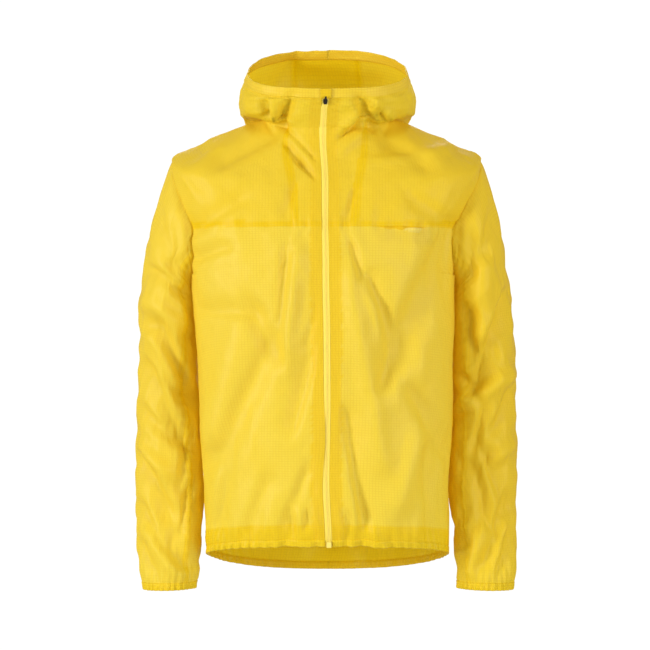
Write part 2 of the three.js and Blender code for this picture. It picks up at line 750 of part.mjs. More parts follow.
// Where a hard part of the zip sits: on the tapes, leaning as they lean there
function zipSeat(zone, v) {
  const up = zone.surface(0, v + HEIGHT_STEP).sub(zone.surface(0, v - HEIGHT_STEP));
  return { at: zone.surface(0, v), lean: Math.atan2(-up.y, up.z) };
}

const HALVINGS = 30;
function heightOnZip(zone, z) {
  let low = zone.low;
  let high = zone.high;
  for (let n = 0; n < HALVINGS; n += 1) {
    const middle = (low + high) / 2;
    if (zone.surface(0, middle).z < z) low = middle;
    else high = middle;
  }
  return low;
}

const sliderSeat = zipSeat(above, heightOnZip(above, SLIDER.up));
const EAR_OUT = SLIDER.standOff + SLIDER.thick + SLIDER_EAR.out / 2;
const HINGE = new THREE.Vector3(0, -EAR_OUT, 0)
  .applyAxisAngle(new THREE.Vector3(1, 0, 0), sliderSeat.lean)
  .add(sliderSeat.at);

// The slider's plate is broad at the top, where its two channels are, and narrow at the bottom
function sliderShape() {
  const { width, tall, thick, standOff, foot, top, shoulder } = SLIDER;
  const shield = new THREE.Shape();
  shield.moveTo(-foot / 2, -tall / 2);
  shield.lineTo(foot / 2, -tall / 2);
  shield.lineTo(width / 2, shoulder);
  shield.quadraticCurveTo(width / 2, tall / 2, top / 2, tall / 2);
  shield.lineTo(-top / 2, tall / 2);
  shield.quadraticCurveTo(-width / 2, tall / 2, -width / 2, shoulder);
  shield.closePath();
  const plate = new THREE.ExtrudeGeometry(shield, { depth: thick, bevelEnabled: false, curveSegments: 5 });
  plate.rotateX(Math.PI / 2).translate(0, -standOff, 0);
  const { width: earWidth, out, tall: earTall, hole } = SLIDER_EAR;
  const ear = block(earWidth, out + thick / 2, earTall, 0, -EAR_OUT + thick / 4, 0);
  const eye = crossPin(hole, 2 * earWidth).translate(0, -EAR_OUT, 0);
  return geometryOfSolid(solidOf(plate).add(solidOf(ear)).subtract(solidOf(eye)));
}

// The pull tab stands up from its pin, which runs through the slider's ear
function tabShape() {
  const { tip, lean, long, thick, arm, armLong, pin, joint } = TAB;
  const inner = SLIDER_EAR.width / 2 + TAB_GAP;
  const reach = inner + arm;
  const arms = [1, -1].map((side) =>
    solidOf(block(arm, thick, armLong + pin, side * (inner + arm / 2), 0, armLong / 2)),
  );
  const blade = new THREE.Shape();
  blade.moveTo(-reach, armLong - joint);
  blade.lineTo(reach, armLong - joint);
  blade.lineTo(lean + tip / 2, long);
  blade.lineTo(lean - tip / 2, long);
  blade.closePath();
  const plate = new THREE.ExtrudeGeometry(blade, { depth: thick, bevelEnabled: false });
  plate.rotateX(Math.PI / 2).translate(0, thick / 2, 0);
  const pinned = arms.reduce((sum, a) => sum.add(a), solidOf(crossPin(pin, 2 * reach)));
  return geometryOfSolid(pinned.add(solidOf(plate)));
}

const boxSeat = zipSeat(below, ZIP_BOX.up);
function zipBox() {
  const { width, tall, thick } = ZIP_BOX;
  return block(width, thick, tall, 0, -SLIDER.standOff - thick / 2, 0);
}

const YELLOW = { color: 0xf0cf35, roughness: 0.55, metalness: 0 };
const DEEP_YELLOW = { color: 0xf3c81c, roughness: 0.6, metalness: 0 };
const PALE_YELLOW = { color: 0xf1da74, roughness: 0.6, metalness: 0 };
const BLACK = { color: 0x1b1815, roughness: 0.4, metalness: 0.3 };

const jacket = new THREE.Group();

function add(name, geometry, look, at = new THREE.Vector3(), lean = 0) {
  const mesh = new THREE.Mesh(geometry, new THREE.MeshStandardMaterial(look));
  mesh.name = name;
  mesh.position.copy(at);
  mesh.rotation.x = lean;
  jacket.add(mesh);
}

const SIDES = [
  ["left", 1],
  ["right", -1],
];

for (const [name, side] of SIDES) {
  add(`front_${name}`, lowerFront(side), YELLOW);
  add(`yoke_${name}`, yoke(side), YELLOW);
  add(`hood_side_${name}`, hoodSide(side), YELLOW);
  add(`sleeve_${name}`, wallOf(sleeveTube(side, 0, CUFF_TOP, SLEEVE_ROWS)), YELLOW);
  const cuff = sleeveTube(side, CUFF_TOP, CUFF_END, 1);
  add(`cuff_${name}`, wallOf(cuff, BAND, BAND_OUTSIDE), DEEP_YELLOW);
  const facing = zipStrip(side, ZIP_HALF, ZIP_HALF + FACING_WIDTH);
  add(`zip_facing_${name}`, wallOf(facing, TAPE, INSIDE), DEEP_YELLOW);
  add(`zip_tape_${name}`, wallOf(zipStrip(side, 0, ZIP_HALF), TAPE, TAPE_OUTSIDE), PALE_YELLOW);
}
add("back", back(), YELLOW);
add("hood_centre", hoodCentre(), YELLOW);
add("hood_hem", hoodHem(), DEEP_YELLOW);
add("hem_band", hemBand(), DEEP_YELLOW);
add("zip_garage", zipGarage(), DEEP_YELLOW);
add("pocket_facing", pocketFacing(), DEEP_YELLOW);
add("zip_slider", sliderShape(), BLACK, sliderSeat.at, sliderSeat.lean);
add("zip_pull_tab", tabShape(), BLACK, HINGE, sliderSeat.lean);
add("zip_box", zipBox(), PALE_YELLOW, boxSeat.at, boxSeat.lean);

export default jacket;
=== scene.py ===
"""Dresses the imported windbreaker: cloth panels with folds, seams and bindings, the zip, and materials."""
import math

import bpy
import numpy as np
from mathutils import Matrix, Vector


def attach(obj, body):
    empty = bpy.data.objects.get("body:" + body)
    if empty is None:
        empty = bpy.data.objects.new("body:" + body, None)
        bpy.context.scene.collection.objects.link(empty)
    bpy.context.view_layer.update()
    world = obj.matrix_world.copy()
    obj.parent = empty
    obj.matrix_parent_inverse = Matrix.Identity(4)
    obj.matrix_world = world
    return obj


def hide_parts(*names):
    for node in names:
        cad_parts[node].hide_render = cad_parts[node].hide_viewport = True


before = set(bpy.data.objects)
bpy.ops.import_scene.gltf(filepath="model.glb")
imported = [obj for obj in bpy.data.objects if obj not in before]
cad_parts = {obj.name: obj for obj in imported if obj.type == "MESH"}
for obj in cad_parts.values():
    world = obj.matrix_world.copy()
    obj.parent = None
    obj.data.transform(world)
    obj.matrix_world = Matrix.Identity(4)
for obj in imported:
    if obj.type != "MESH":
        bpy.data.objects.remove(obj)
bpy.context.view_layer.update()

MM = 0.001
DEG = math.pi / 180

# Where the seams run. A height v is the distance up the side from the hem, along the cloth, in mm.
HEM_BAND_TOP = 8
UNDERARM = 430
CHEST_SEAM = 500
SHOULDER_TIP = 600
NECK = 765
HOOD_HEM = 1010
RIM = 1024
ZIP_HALF = 5.5
FACING_WIDTH = 17
SIDE_SEAM = (80 * DEG, 90 * DEG)
ARMHOLE_HALF_ANGLE = 26 * DEG
BACK_YOKE_NECK = 112 * DEG
HOOD_CENTRE = 158 * DEG
SLEEVE_BLEND = 110
CUFF_TOP = 659
CUFF_END = 668

# Cells of each panel, before every cell is split in four
FINE = 3
INSET_COLUMNS = 3 * FINE
YOKE_COLUMNS = 7 * FINE
NECK_SIDE_COLUMNS = 4 * FINE
NECK_BACK_COLUMNS = 3 * FINE
HOOD_CENTRE_COLUMNS = 4 * FINE
BODY_ROWS = 15 * FINE
ARM_FRONT, ARM_YOKE, ARM_BACK = 6 * FINE, 11 * FINE, 11 * FINE
INSET_ROWS = ARM_YOKE - NECK_SIDE_COLUMNS
HOOD_ROWS = 12 * FINE
SLEEVE_ROWS = 17 * 4
FRONT_COLUMNS = INSET_COLUMNS + YOKE_COLUMNS
FRONT_ROWS = BODY_ROWS + ARM_FRONT
FACING_COLUMNS = FINE

# For lengths along the cloth in mm. Distances from the zip are measured up to the angle FRONT_END.
SLEEVE_ROUND = 390
SLEEVE_SEAM = 4 * FINE
SIDE_RADIUS = 170
HOOD_BACK_RADIUS = 130
MEAN_RADIUS_SHARE = 0.86
FRONT_END = 1.3
FAR = 999.0


def table(names, rows):
    """The columns of a table by name."""
    return {name: np.array([row[i] for row in rows], float) for i, name in enumerate(names.split())}


BODY = table("v front side back half fore aft shift sway square droop", [
    (0, -649, -669, -702, 186, 108, 106, 1.5, 1.5, 2.4, 1.3),
    (30, -620, -638, -669, 188, 117, 113, 1, 0.5, 2.4, 1.2),
    (100, -552, -570, -595, 188.5, 123, 116, -1.5, 0, 2.4, 1),
    (210, -442, -460, -478, 195.5, 126, 112, -1.5, 1.5, 2.4, 1),
    (330, -325, -340, -352, 198, 128, 112, -3, 2.5, 2.4, 1),
    (430, -232, -240, -250, 201.5, 127, 118, -6, 4, 2.6, 1),
    (500, -165, -168, -180, 213, 118, 122, -4, 1, 2.9, 1),
    (600, -98, -63, -95, 237.5, 100, 113, -1, -2, 3, 1),
    (660, -72, -31, -60, 187, 90, 100, 0, -4, 2.7, 1),
    (715, -45, -7, -26, 132.5, 83, 86, 0, -6, 2.3, 1),
    (765, -18, 6, 6, 97, 80, 76, 1, -7.5, 2.1, 2.2),
    (800, -8, 9, -30, 111, 83, 101, 1, -7, 2.2, 2.4),
    (835, 0, 8, -85, 122, 86, 124, 1, -6.5, 2.3, 2.6),
    (870, 8, 9, -112, 131, 89, 156, 1, -6, 2.4, 2.6),
    (905, 14, 17, -85, 134, 92, 190, 1, -5.5, 2.5, 2.4),
    (940, 20, 34, -20, 135, 94, 206, 1, -4, 2.6, 2),
    (975, 25, 52, 55, 132.5, 96, 198, 0, -2.5, 2.7, 1.5),
    (1010, 29, 66, 114, 129, 97, 167, -0.5, -1.5, 2.7, 1.3),
    (1024, 42, 78.5, 127.5, 125, 100, 159, -0.5, -1.5, 2.7, 1.3),
])
NECK_SEAM = table("v reach", [(500, 49.6), (600, 55), (660, 62), (715, 70), (750, 77), (765, 84)])
SLEEVE = table("w outer_right outer_left outer_z inner_right inner_left inner_z mid_y half_y", [
    (0, 241, 239, -60, 210, 202, -240, 4, 58),
    (18, 249, 249.5, -77, 211, 205, -243, 7, 66),
    (52, 259, 258, -108, 210.5, 203.5, -248, 11, 73),
    (95, 270, 267, -150, 209.5, 201, -258, 17, 77),
    (155, 282, 277, -210, 207, 198, -282, 24, 78),
    (230, 291, 287, -285, 204, 195, -322, 30, 74),
    (315, 293.5, 292.5, -370, 201, 194, -386, 32, 66),
    (415, 296, 294.5, -470, 196, 193.5, -473, 30, 57),
    (505, 297, 295, -560, 192, 189.5, -560, 21, 51),
    (577, 295.5, 294, -632, 195, 195.5, -632, 10, 46),
    (635, 291, 293, -690, 196.5, 199.5, -688, 0, 42),
    (668, 284, 288, -723, 204.5, 202.5, -721, -5, 35),
])

# Folds as strokes seen from the front or the back, in mm. Depth is outwards, so a trough is negative.
# skew makes one flank of a fold steeper than the other.
FOLD = "x1 z1 x2 z2 width depth skew"
FRONT_FOLDS = table(FOLD, [
    (-113, -300, -90, -350, 15, -6, 0.3),
    (-90, -350, -162, -502, 19, -7, 0.4),
    (-138, -337, -174, -472, 20, 5, 0),
    (-45, -215, -60, -345, 14, 3.5, 0),
    (-62, -208, -70, -300, 9, -3, 0.2),
    (-20, -361, -50, -463, 13, -5.5, -0.4),
    (-13, -290, -30, -336, 9, -3, 0.3),
    (-33, -540, -60, -607, 12, -4.5, 0.3),
    (-18, -558, -34, -617, 9, -3.5, 0.3),
    (-55, -618, -62, -650, 8, -3, 0),
    (-95, -560, -120, -625, 14, -4, 0.2),
    (-157, -553, -168, -614, 12, -4, 0.2),
    (-183, -295, -118, -300, 13, -3.5, 0.6),
    (-52, -260, -63, -380, 10, 3, 0),
    (181, -195, 104, -348, 26, -9, 0.3),
    (104, -352, 86, -392, 13, -6, 0.5),
    (86, -300, 104, -356, 12, -4.5, 0.3),
    (35, -255, 83, -517, 16, 4.5, 0),
    (66, -246, 88, -321, 10, -5, 0.5),
    (67, -280, 92, -326, 8, 3, 0),
    (38, -200, 50, -240, 7, -3.5, 0.4),
    (31, -456, 54, -603, 13, -6, 0.4),
    (136, -425, 176, -500, 17, -6, 0.3),
    (154, -514, 158, -625, 15, -5, 0.3),
    (134, -502, 112, -575, 18, 5, 0),
    (28, -608, 28, -648, 7, -2.5, 0),
    (54, -600, 56, -650, 7, -2.5, 0),
    (74, -628, 84, -652, 7, 2.5, 0),
    (-70, -8, -22, -58, 6.5, -5, 0.8),
    (-72, 2, -26, -48, 7, 2.5, 0),
    (-62, -44, -44, -68, 6, -4.5, 0.7),
    (-44, -68, -17, -94, 6, -4.5, 0.7),
    (-96, 15, -90, -4, 7, -8, 0.4),
    (-83, 20, -77, -10, 6, 6, 0),
    (-62, 19, -74, -4, 8, -13, 0.5),
    (56, 19, 68, -2, 8, -13, -0.5),
    (74, 22, 92, 6, 6.5, 6, 0),
    (83, 10, 88, -8, 6.5, -8, 0.3),
    (16, -32, 54, -6, 5, -7.5, 0.9),
    (54, -6, 66, 20, 6, -6, 0.6),
    (12, -23, 46, 3, 7, 5.5, 0),
    (20, -52, 48, -28, 7, 3, 0),
    (66, -70, 176, -48, 10, 2.5, 0),
    (40, -120, 30, -150, 8, -2.5, 0.3),
    (-60, -140, -48, -108, 8, -2.5, 0.3),
    (-150, -60, -90, -30, 14, -3, 0.2),
    (140, -62, 100, -36, 14, -3, 0.2),
    (-196, -165, -140, -130, 15, -4, 0.3),
    (196, -165, 140, -128, 15, -4, 0.3),
    (-205, -215, -160, -200, 12, -4, 0.3),
])
BACK_FOLDS = table(FOLD, [
    (186, -205, 78, -335, 24, -8, 0.3),
    (-184, -215, -84, -350, 24, -8, 0.3),
    (198, -180, 120, -232, 15, 5, 0),
    (-196, -186, -124, -240, 15, 5, 0),
    (70, -400, 92, -600, 19, -6, 0.3),
    (-64, -420, -96, -610, 19, -6, -0.3),
    (8, -250, -6, -420, 18, -5, 0.2),
    (20, -470, 10, -640, 18, 5, 0),
    (-28, -520, -36, -660, 13, -4.5, 0.2),
    (46, -560, 52, -675, 12, -4, 0.2),
    (140, -450, 158, -620, 16, 5, 0),
    (-146, -440, -160, -610, 16, 5, 0),
    (118, -330, 108, -470, 14, -5, 0.3),
    (-116, -360, -112, -480, 14, -5, 0.3),
    (-90, -120, -60, -230, 15, -4, 0.2),
    (84, -130, 58, -240, 15, -4, 0.2),
    (-140, -80, -100, -130, 14, -4, 0.2),
    (138, -84, 98, -136, 14, -4, 0.2),
    (-84, 40, -20, 4, 18, -8, 0.4),
    (-40, 85, 72, 70, 16, 6, 0),
    (84, 46, 30, -20, 16, -7, 0.4),
    (-20, -30, 26, -84, 14, -6, 0.3),
    (-60, 100, -96, 52, 12, 4, 0),
    (40, 20, -16, 44, 12, 5, 0),
])
# Sleeve folds, with x measured outwards from the middle of the body
RIGHT_SLEEVE_FOLDS = table(FOLD, [
    (253, -321, 212, -415, 16, -9, 0.5),
    (276, -386, 226, -484, 15, -7, 0.4),
    (288, -507, 256, -534, 12, 5, 0),
    (288, -520, 246, -597, 14, -7, 0.4),
    (246, -597, 224, -672, 14, -6, 0.3),
    (232, -175, 226, -215, 12, -5, 0.3),
    (282, -276, 238, -307, 15, 5, 0),
    (270, -335, 228, -400, 10, 4.5, 0),
    (290, -440, 262, -470, 10, -4, 0.3),
    (262, -150, 236, -220, 12, -4, 0.3),
    (270, -230, 222, -262, 11, -5, 0.4),
    (284, -600, 262, -640, 10, -4, 0.3),
    (270, -640, 230, -700, 11, 4, 0),
    (284, -660, 262, -706, 9, -3.5, 0.2),
    (216, -510, 224, -560, 8, -3.5, 0.4),
    (216, -575, 222, -630, 8, -3.5, 0.4),
])
LEFT_SLEEVE_FOLDS = table(FOLD, [
    (277, -273, 228, -395, 15, -11, 0.6),
    (222, -190, 218, -225, 12, -5, 0.3),
    (216, -300, 224, -380, 12, -6, 0.3),
    (218, -430, 288, -388, 13, 6, 0),
    (212, -402, 226, -424, 9, -6, 0.4),
    (248, -524, 276, -594, 14, -6, 0.4),
    (276, -594, 240, -680, 13, -5.5, 0.3),
    (240, -230, 238, -323, 14, 5, 0),
    (240, -450, 224, -506, 9, -4, 0.3),
    (286, -420, 262, -470, 12, -5, 0.3),
    (288, -500, 262, -520, 10, 4.5, 0),
    (224, -540, 252, -620, 13, -6, 0.2),
    (284, -640, 262, -700, 10, -4, 0.3),
    (262, -130, 240, -200, 12, -4, 0.3),
    (232, -640, 226, -700, 9, 4, 0),
])
SLEEVE_BACK_FOLDS = table(FOLD, [
    (286, -300, 226, -390, 17, -9, 0.4),
    (224, -400, 282, -450, 15, -7, 0.4),
    (284, -470, 232, -540, 14, 6, 0),
    (282, -560, 236, -640, 14, -7, 0.4),
    (250, -140, 262, -230, 15, -5, 0.2),
    (236, -220, 274, -300, 12, 5, 0),
    (230, -330, 286, -370, 11, 5, 0),
    (276, -620, 244, -690, 11, -5, 0.3),
    (226, -470, 262, -500, 10, -5, 0.3),
])


def curve_through(xs, ys):
    """A smooth curve through a table's values that never overshoots them."""
    slopes = np.diff(ys) / np.diff(xs)
    tangents = np.concatenate([[slopes[0]], np.zeros(len(xs) - 2), [slopes[-1]]])
    for i in range(1, len(xs) - 1):
        a, b = slopes[i - 1], slopes[i]
        tangents[i] = 2 * a * b / (a + b) if a * b > 0 else 0

    def at(x):
        i = np.clip(np.searchsorted(xs, x, side="left") - 1, 0, len(xs) - 2)
        span = xs[i + 1] - xs[i]
        s = np.clip((x - xs[i]) / span, 0, 1)
        return (
            (1 + 2 * s) * (1 - s) ** 2 * ys[i]
            + s * (1 - s) ** 2 * span * tangents[i]
            + s * s * (3 - 2 * s) * ys[i + 1]
            + s * s * (s - 1) * span * tangents[i + 1]
        )

    return at


def sections_of(rows):
    along, *names = rows
    curves = {name: curve_through(rows[along], rows[name]) for name in names}
    return lambda x: {name: curve(x) for name, curve in curves.items()}


body_section = sections_of(BODY)
neck_seam_section = sections_of(NECK_SEAM)
sleeve_section = sections_of(SLEEVE)


def mix(a, b, s):
    return a + (b - a) * s


def ease(start, end, x):
    s = np.clip((x - start) / (end - start), 0, 1)
    return s * s * (3 - 2 * s)


def body_form(t, v):
    """The bare form at an angle t round the body, from the centre front, and a height v."""
    s = body_section(v)
    ahead = np.cos(t) > 0
    depth = np.where(ahead, s["fore"], s["aft"])
    angle = np.arctan2(s["half"] * np.sin(t), depth * np.cos(t))
    reach = (
        np.abs(np.sin(angle) / s["half"]) ** s["square"] + np.abs(np.cos(angle) / depth) ** s["square"]
    ) ** (-1 / s["square"])
    y = -reach * np.cos(angle)
    rise = (np.abs(y) / depth) ** np.where(ahead, 1, s["droop"])
    z = mix(s["side"], np.where(ahead, s["front"], s["back"]), rise)
    x = s["shift"] + s["sway"] * np.maximum(np.cos(t), 0) ** 4 + reach * np.sin(angle)
    return np.stack([x, y, z], -1)


def angle_at(reach, v):
    return np.arctan(reach / body_section(v)["half"])


# The scene's folds are deeper than the solids', up to a limit in mm where several cross
FOLD_GAIN = 1.9
FOLD_LIMIT = 16


def fold_depth(folds, x, z):
    total = np.zeros_like(x)
    for x1, z1, x2, z2, width, depth, skew in zip(*folds.values()):
        dx, dz = x2 - x1, z2 - z1
        length = math.hypot(dx, dz)
        s = ((x - x1) * dx + (z - z1) * dz) / length
        across = ((x - x1) * dz - (z - z1) * dx) / length / width
        past = np.maximum(np.maximum(-s, s - length), 0) / (1.6 * width)
        across *= np.where(across * skew > 0, 1 + 1.6 * abs(skew), 1 / (1 + 0.5 * abs(skew)))
        total += depth * np.exp(-(across**2) - past**2)
    return FOLD_LIMIT * np.tanh(FOLD_GAIN * total / FOLD_LIMIT)


def unit(a):
    return a / np.maximum(np.linalg.norm(a, axis=-1, keepdims=True), 1e-12)


def normal_of(surface, a, b, step_a, step_b, low, high):
    along = surface(a + step_a, b) - surface(a - step_a, b)
    up = surface(a, np.minimum(b + step_b, high)) - surface(a, np.maximum(b - step_b, low))
    return unit(np.cross(along, up))


def body_bare(t, v):
    """Points and normals of the bare body. Below and above the neck seam keep to their own side."""
    above = v > NECK + 0.01
    low = np.where(above, NECK, 0)
    high = np.where(above, RIM, NECK)
    return body_form(t, v), normal_of(body_form, t, v, 1.2 * DEG, 4, low, high)


def body_folded(t, v):
    at, normal = body_bare(t, v)
    front = fold_depth(FRONT_FOLDS, at[:, 0], at[:, 2]) * ease(0.1, 0.55, -normal[:, 1])
    back = fold_depth(BACK_FOLDS, at[:, 0], at[:, 2]) * ease(0.1, 0.55, normal[:, 1])
    off_zip = ease(FACING_WIDTH / 2, 2 * FACING_WIDTH, np.abs(at[:, 0]))
    off_neck = np.maximum(ease(0, 30, np.abs(v - NECK)), ease(0.5, 0.75, np.cos(t)))
    return at + normal * ((front * off_zip + back) * off_neck)[:, None]


ARM_COUNT = ARM_FRONT + ARM_YOKE + ARM_BACK


def arm_angle(k):
    return -math.pi + 2 * math.pi * k / ARM_COUNT


def armhole(k):
    turn = arm_angle(k)
    return (
        math.pi / 2 + ARMHOLE_HALF_ANGLE * math.sin(turn),
        mix(UNDERARM, SHOULDER_TIP, (1 + math.cos(turn)) / 2),
    )


def side_seam(v):
    rise = min(v / UNDERARM, 1)
    return mix(SIDE_SEAM[0], SIDE_SEAM[1], rise * rise)


CHEST_AT_ARMHOLE = armhole(ARM_FRONT)


def inset_row(j):
    return mix(CHEST_SEAM, NECK, j / INSET_ROWS)


def body_row(j):
    if j <= BODY_ROWS:
        return mix(HEM_BAND_TOP, UNDERARM, j / BODY_ROWS)
    return mix(UNDERARM, CHEST_SEAM, (j - BODY_ROWS) / ARM_FRONT)


def hood_row(j):
    return mix(NECK, HOOD_HEM, j / HOOD_ROWS)


def neck_seam_angle(v):
    return angle_at(neck_seam_section(v)["reach"], v)


def beside_zip(i, v, columns, end):
    """The angle of a panel's column beside the zip. The first columns are as wide as the zip's facing."""
    if i <= FACING_COLUMNS:
        return angle_at(ZIP_HALF + i / FACING_COLUMNS * FACING_WIDTH, v)
    start = angle_at(ZIP_HALF + FACING_WIDTH, v)
    return mix(start, end, (i - FACING_COLUMNS) / (columns - FACING_COLUMNS))


def chest_seam(i):
    start = neck_seam_angle(CHEST_SEAM)
    if i <= INSET_COLUMNS:
        return beside_zip(i, CHEST_SEAM, INSET_COLUMNS, start), CHEST_SEAM
    share = (i - INSET_COLUMNS) / YOKE_COLUMNS
    return mix(start, CHEST_AT_ARMHOLE[0], share), mix(CHEST_SEAM, CHEST_AT_ARMHOLE[1], share * share)


def neck_edge(j):
    if j <= INSET_ROWS:
        v = inset_row(j)
        return neck_seam_angle(v), v
    return mix(neck_seam_angle(NECK), BACK_YOKE_NECK, (j - INSET_ROWS) / NECK_SIDE_COLUMNS), NECK


def back_yoke_seam(i):
    end = armhole(ARM_FRONT + ARM_YOKE)
    share = i / YOKE_COLUMNS
    return mix(BACK_YOKE_NECK, end[0], share), mix(NECK, end[1], share)


def coons(columns, rows, bottom, top, left, right):
    """A grid stretched between four edges."""

    def place(i, j):
        s, r = i / columns, j / rows
        corners = bottom(0), bottom(columns), top(0), top(columns)
        ends = bottom(i), top(i), left(j), right(j)
        return tuple(
            mix(ends[0][a], ends[1][a], r)
            + mix(ends[2][a], ends[3][a], s)
            - mix(mix(corners[0][a], corners[1][a], s), mix(corners[2][a], corners[3][a], s), r)
            for a in (0, 1)
        )

    return place


def front_place(i, j):
    v = body_row(j)
    if i <= FACING_COLUMNS:
        return beside_zip(i, v, FRONT_COLUMNS, 0), v
    edge = (side_seam(v), v) if j <= BODY_ROWS else armhole(j - BODY_ROWS)
    start = beside_zip(FACING_COLUMNS, v, FRONT_COLUMNS, 0)
    top_start = chest_seam(FACING_COLUMNS)[0]
    even = (i - FACING_COLUMNS) / (FRONT_COLUMNS - FACING_COLUMNS)
    top_share = (chest_seam(i)[0] - top_start) / (CHEST_AT_ARMHOLE[0] - top_start)
    share = mix(even, top_share, (j / FRONT_ROWS) ** 2)
    rise = chest_seam(i)[1] if j == FRONT_ROWS else mix(v, edge[1], share * share)
    return mix(start, edge[0], share), rise


BACK_MIDDLE = 2 * NECK_BACK_COLUMNS + HOOD_CENTRE_COLUMNS
BACK_COLUMNS = 2 * YOKE_COLUMNS + BACK_MIDDLE
HOOD_COLUMNS = INSET_COLUMNS + NECK_SIDE_COLUMNS + NECK_BACK_COLUMNS


def neck_back_angle(i):
    if i <= NECK_BACK_COLUMNS:
        return mix(BACK_YOKE_NECK, HOOD_CENTRE, i / NECK_BACK_COLUMNS)
    rest = i - NECK_BACK_COLUMNS
    if rest <= HOOD_CENTRE_COLUMNS:
        return mix(HOOD_CENTRE, 2 * math.pi - HOOD_CENTRE, rest / HOOD_CENTRE_COLUMNS)
    return 2 * math.pi - neck_back_angle(BACK_MIDDLE - i)


def back_top(i):
    if i <= YOKE_COLUMNS:
        return back_yoke_seam(YOKE_COLUMNS - i)
    if i <= YOKE_COLUMNS + BACK_MIDDLE:
        return neck_back_angle(i - YOKE_COLUMNS), NECK
    t, v = back_yoke_seam(i - YOKE_COLUMNS - BACK_MIDDLE)
    return 2 * math.pi - t, v


def back_edge(j):
    return armhole(ARM_COUNT - j)


back_upper = coons(
    BACK_COLUMNS,
    ARM_BACK,
    lambda i: (mix(math.pi / 2, 1.5 * math.pi, i / BACK_COLUMNS), UNDERARM),
    back_top,
    back_edge,
    lambda j: (2 * math.pi - back_edge(j)[0], back_edge(j)[1]),
)


def back_place(i, j):
    if j > BODY_ROWS:
        return back_upper(i, j - BODY_ROWS)
    v = body_row(j)
    return mix(side_seam(v), 2 * math.pi - side_seam(v), i / BACK_COLUMNS), v


def hood_angle(i, v):
    neck = neck_seam_angle(NECK)
    if i <= INSET_COLUMNS:
        return beside_zip(i, v, INSET_COLUMNS, neck)
    if i <= INSET_COLUMNS + NECK_SIDE_COLUMNS:
        return mix(neck, BACK_YOKE_NECK, (i - INSET_COLUMNS) / NECK_SIDE_COLUMNS)
    return neck_back_angle(i - INSET_COLUMNS - NECK_SIDE_COLUMNS)


yoke_place = coons(
    YOKE_COLUMNS,
    ARM_YOKE,
    lambda i: chest_seam(INSET_COLUMNS + i),
    back_yoke_seam,
    neck_edge,
    lambda j: armhole(ARM_FRONT + j),
)


class Patch:
    """A grid of cloth points. a and b are its coordinates on the body (t, v) or on a sleeve (k, w)."""

    def __init__(self, piece, kind, a, b, turned=False):
        self.piece, self.kind, self.a, self.b, self.turned = piece, kind, a, b, turned


def patch_of(piece, columns, rows, place, side=1):
    grid = np.array([[place(i, j) for i in range(columns + 1)] for j in range(rows + 1)], float)
    return Patch(piece, "body", side * grid[..., 0], grid[..., 1], turned=side < 0)


def inset_place(i, j):
    v = inset_row(j)
    return beside_zip(i, v, INSET_COLUMNS, neck_seam_angle(v)), v


def hood_place(i, j):
    return hood_angle(i, hood_row(j)), hood_row(j)


def hood_centre_place(i, j):
    return neck_back_angle(NECK_BACK_COLUMNS + i), hood_row(j)


def hood_hem_place(i, j):
    v = mix(HOOD_HEM, RIM, j / FINE)
    if i <= HOOD_COLUMNS:
        return hood_angle(i, v), v
    if i <= HOOD_COLUMNS + HOOD_CENTRE_COLUMNS:
        return neck_back_angle(NECK_BACK_COLUMNS + i - HOOD_COLUMNS), v
    return 2 * math.pi - hood_angle(2 * HOOD_COLUMNS + HOOD_CENTRE_COLUMNS - i, v), v


SIDES = (("left", 1), ("right", -1))
SIDE_PANELS = (
    ("front", FRONT_COLUMNS, FRONT_ROWS, front_place),
    ("yoke", YOKE_COLUMNS, ARM_YOKE, yoke_place),
    ("hood_side", INSET_COLUMNS, INSET_ROWS, inset_place),
    ("hood_side", HOOD_COLUMNS, HOOD_ROWS, hood_place),
)
MIDDLE_PANELS = (
    ("back", BACK_COLUMNS, BODY_ROWS + ARM_BACK, back_place),
    ("hood_centre", HOOD_CENTRE_COLUMNS, HOOD_ROWS, hood_centre_place),
    ("hood_hem", 2 * HOOD_COLUMNS + HOOD_CENTRE_COLUMNS, FINE, hood_hem_place),
)
patches = []
for name, side in SIDES:
    patches += [patch_of(f"{panel}_{name}", *grid, side) for panel, *grid in SIDE_PANELS]
    k, w = np.meshgrid(np.arange(ARM_COUNT + 1.0), np.linspace(0, CUFF_TOP, SLEEVE_ROWS + 1))
    patches.append(Patch(f"sleeve_{name}", name, k, w, turned=side > 0))
patches += [patch_of(*panel) for panel in MIDDLE_PANELS]


def upsampled(a):
    """A grid with every cell split in four, by straight lines."""
    rows = np.empty((2 * a.shape[0] - 1,) + a.shape[1:])
    rows[::2] = a
    rows[1::2] = (a[:-1] + a[1:]) / 2
    out = np.empty((rows.shape[0], 2 * a.shape[1] - 1) + a.shape[2:])
    out[:, ::2] = rows
    out[:, 1::2] = (rows[:, :-1] + rows[:, 1:]) / 2
    return out


def sleeve_form(side, k, w):
    """The bare sleeve at a place k round it and a distance w down it. Its top grows out of the armhole."""
    turn = arm_angle(k)
    s = sleeve_section(w)
    share = (1 + np.cos(turn)) / 2
    name = "left" if side > 0 else "right"
    ring = np.stack(
        [
            side * mix(s["inner_" + name], s["outer_" + name], share),
            s["mid_y"] + s["half_y"] * np.sin(turn),
            mix(s["inner_z"], s["outer_z"], share),
        ],
        -1,
    )
    t = math.pi / 2 + ARMHOLE_HALF_ANGLE * np.sin(turn)
    v = mix(UNDERARM, SHOULDER_TIP, share)
    return mix(body_folded(side * t, v), ring, ease(0, SLEEVE_BLEND, w)[:, None])


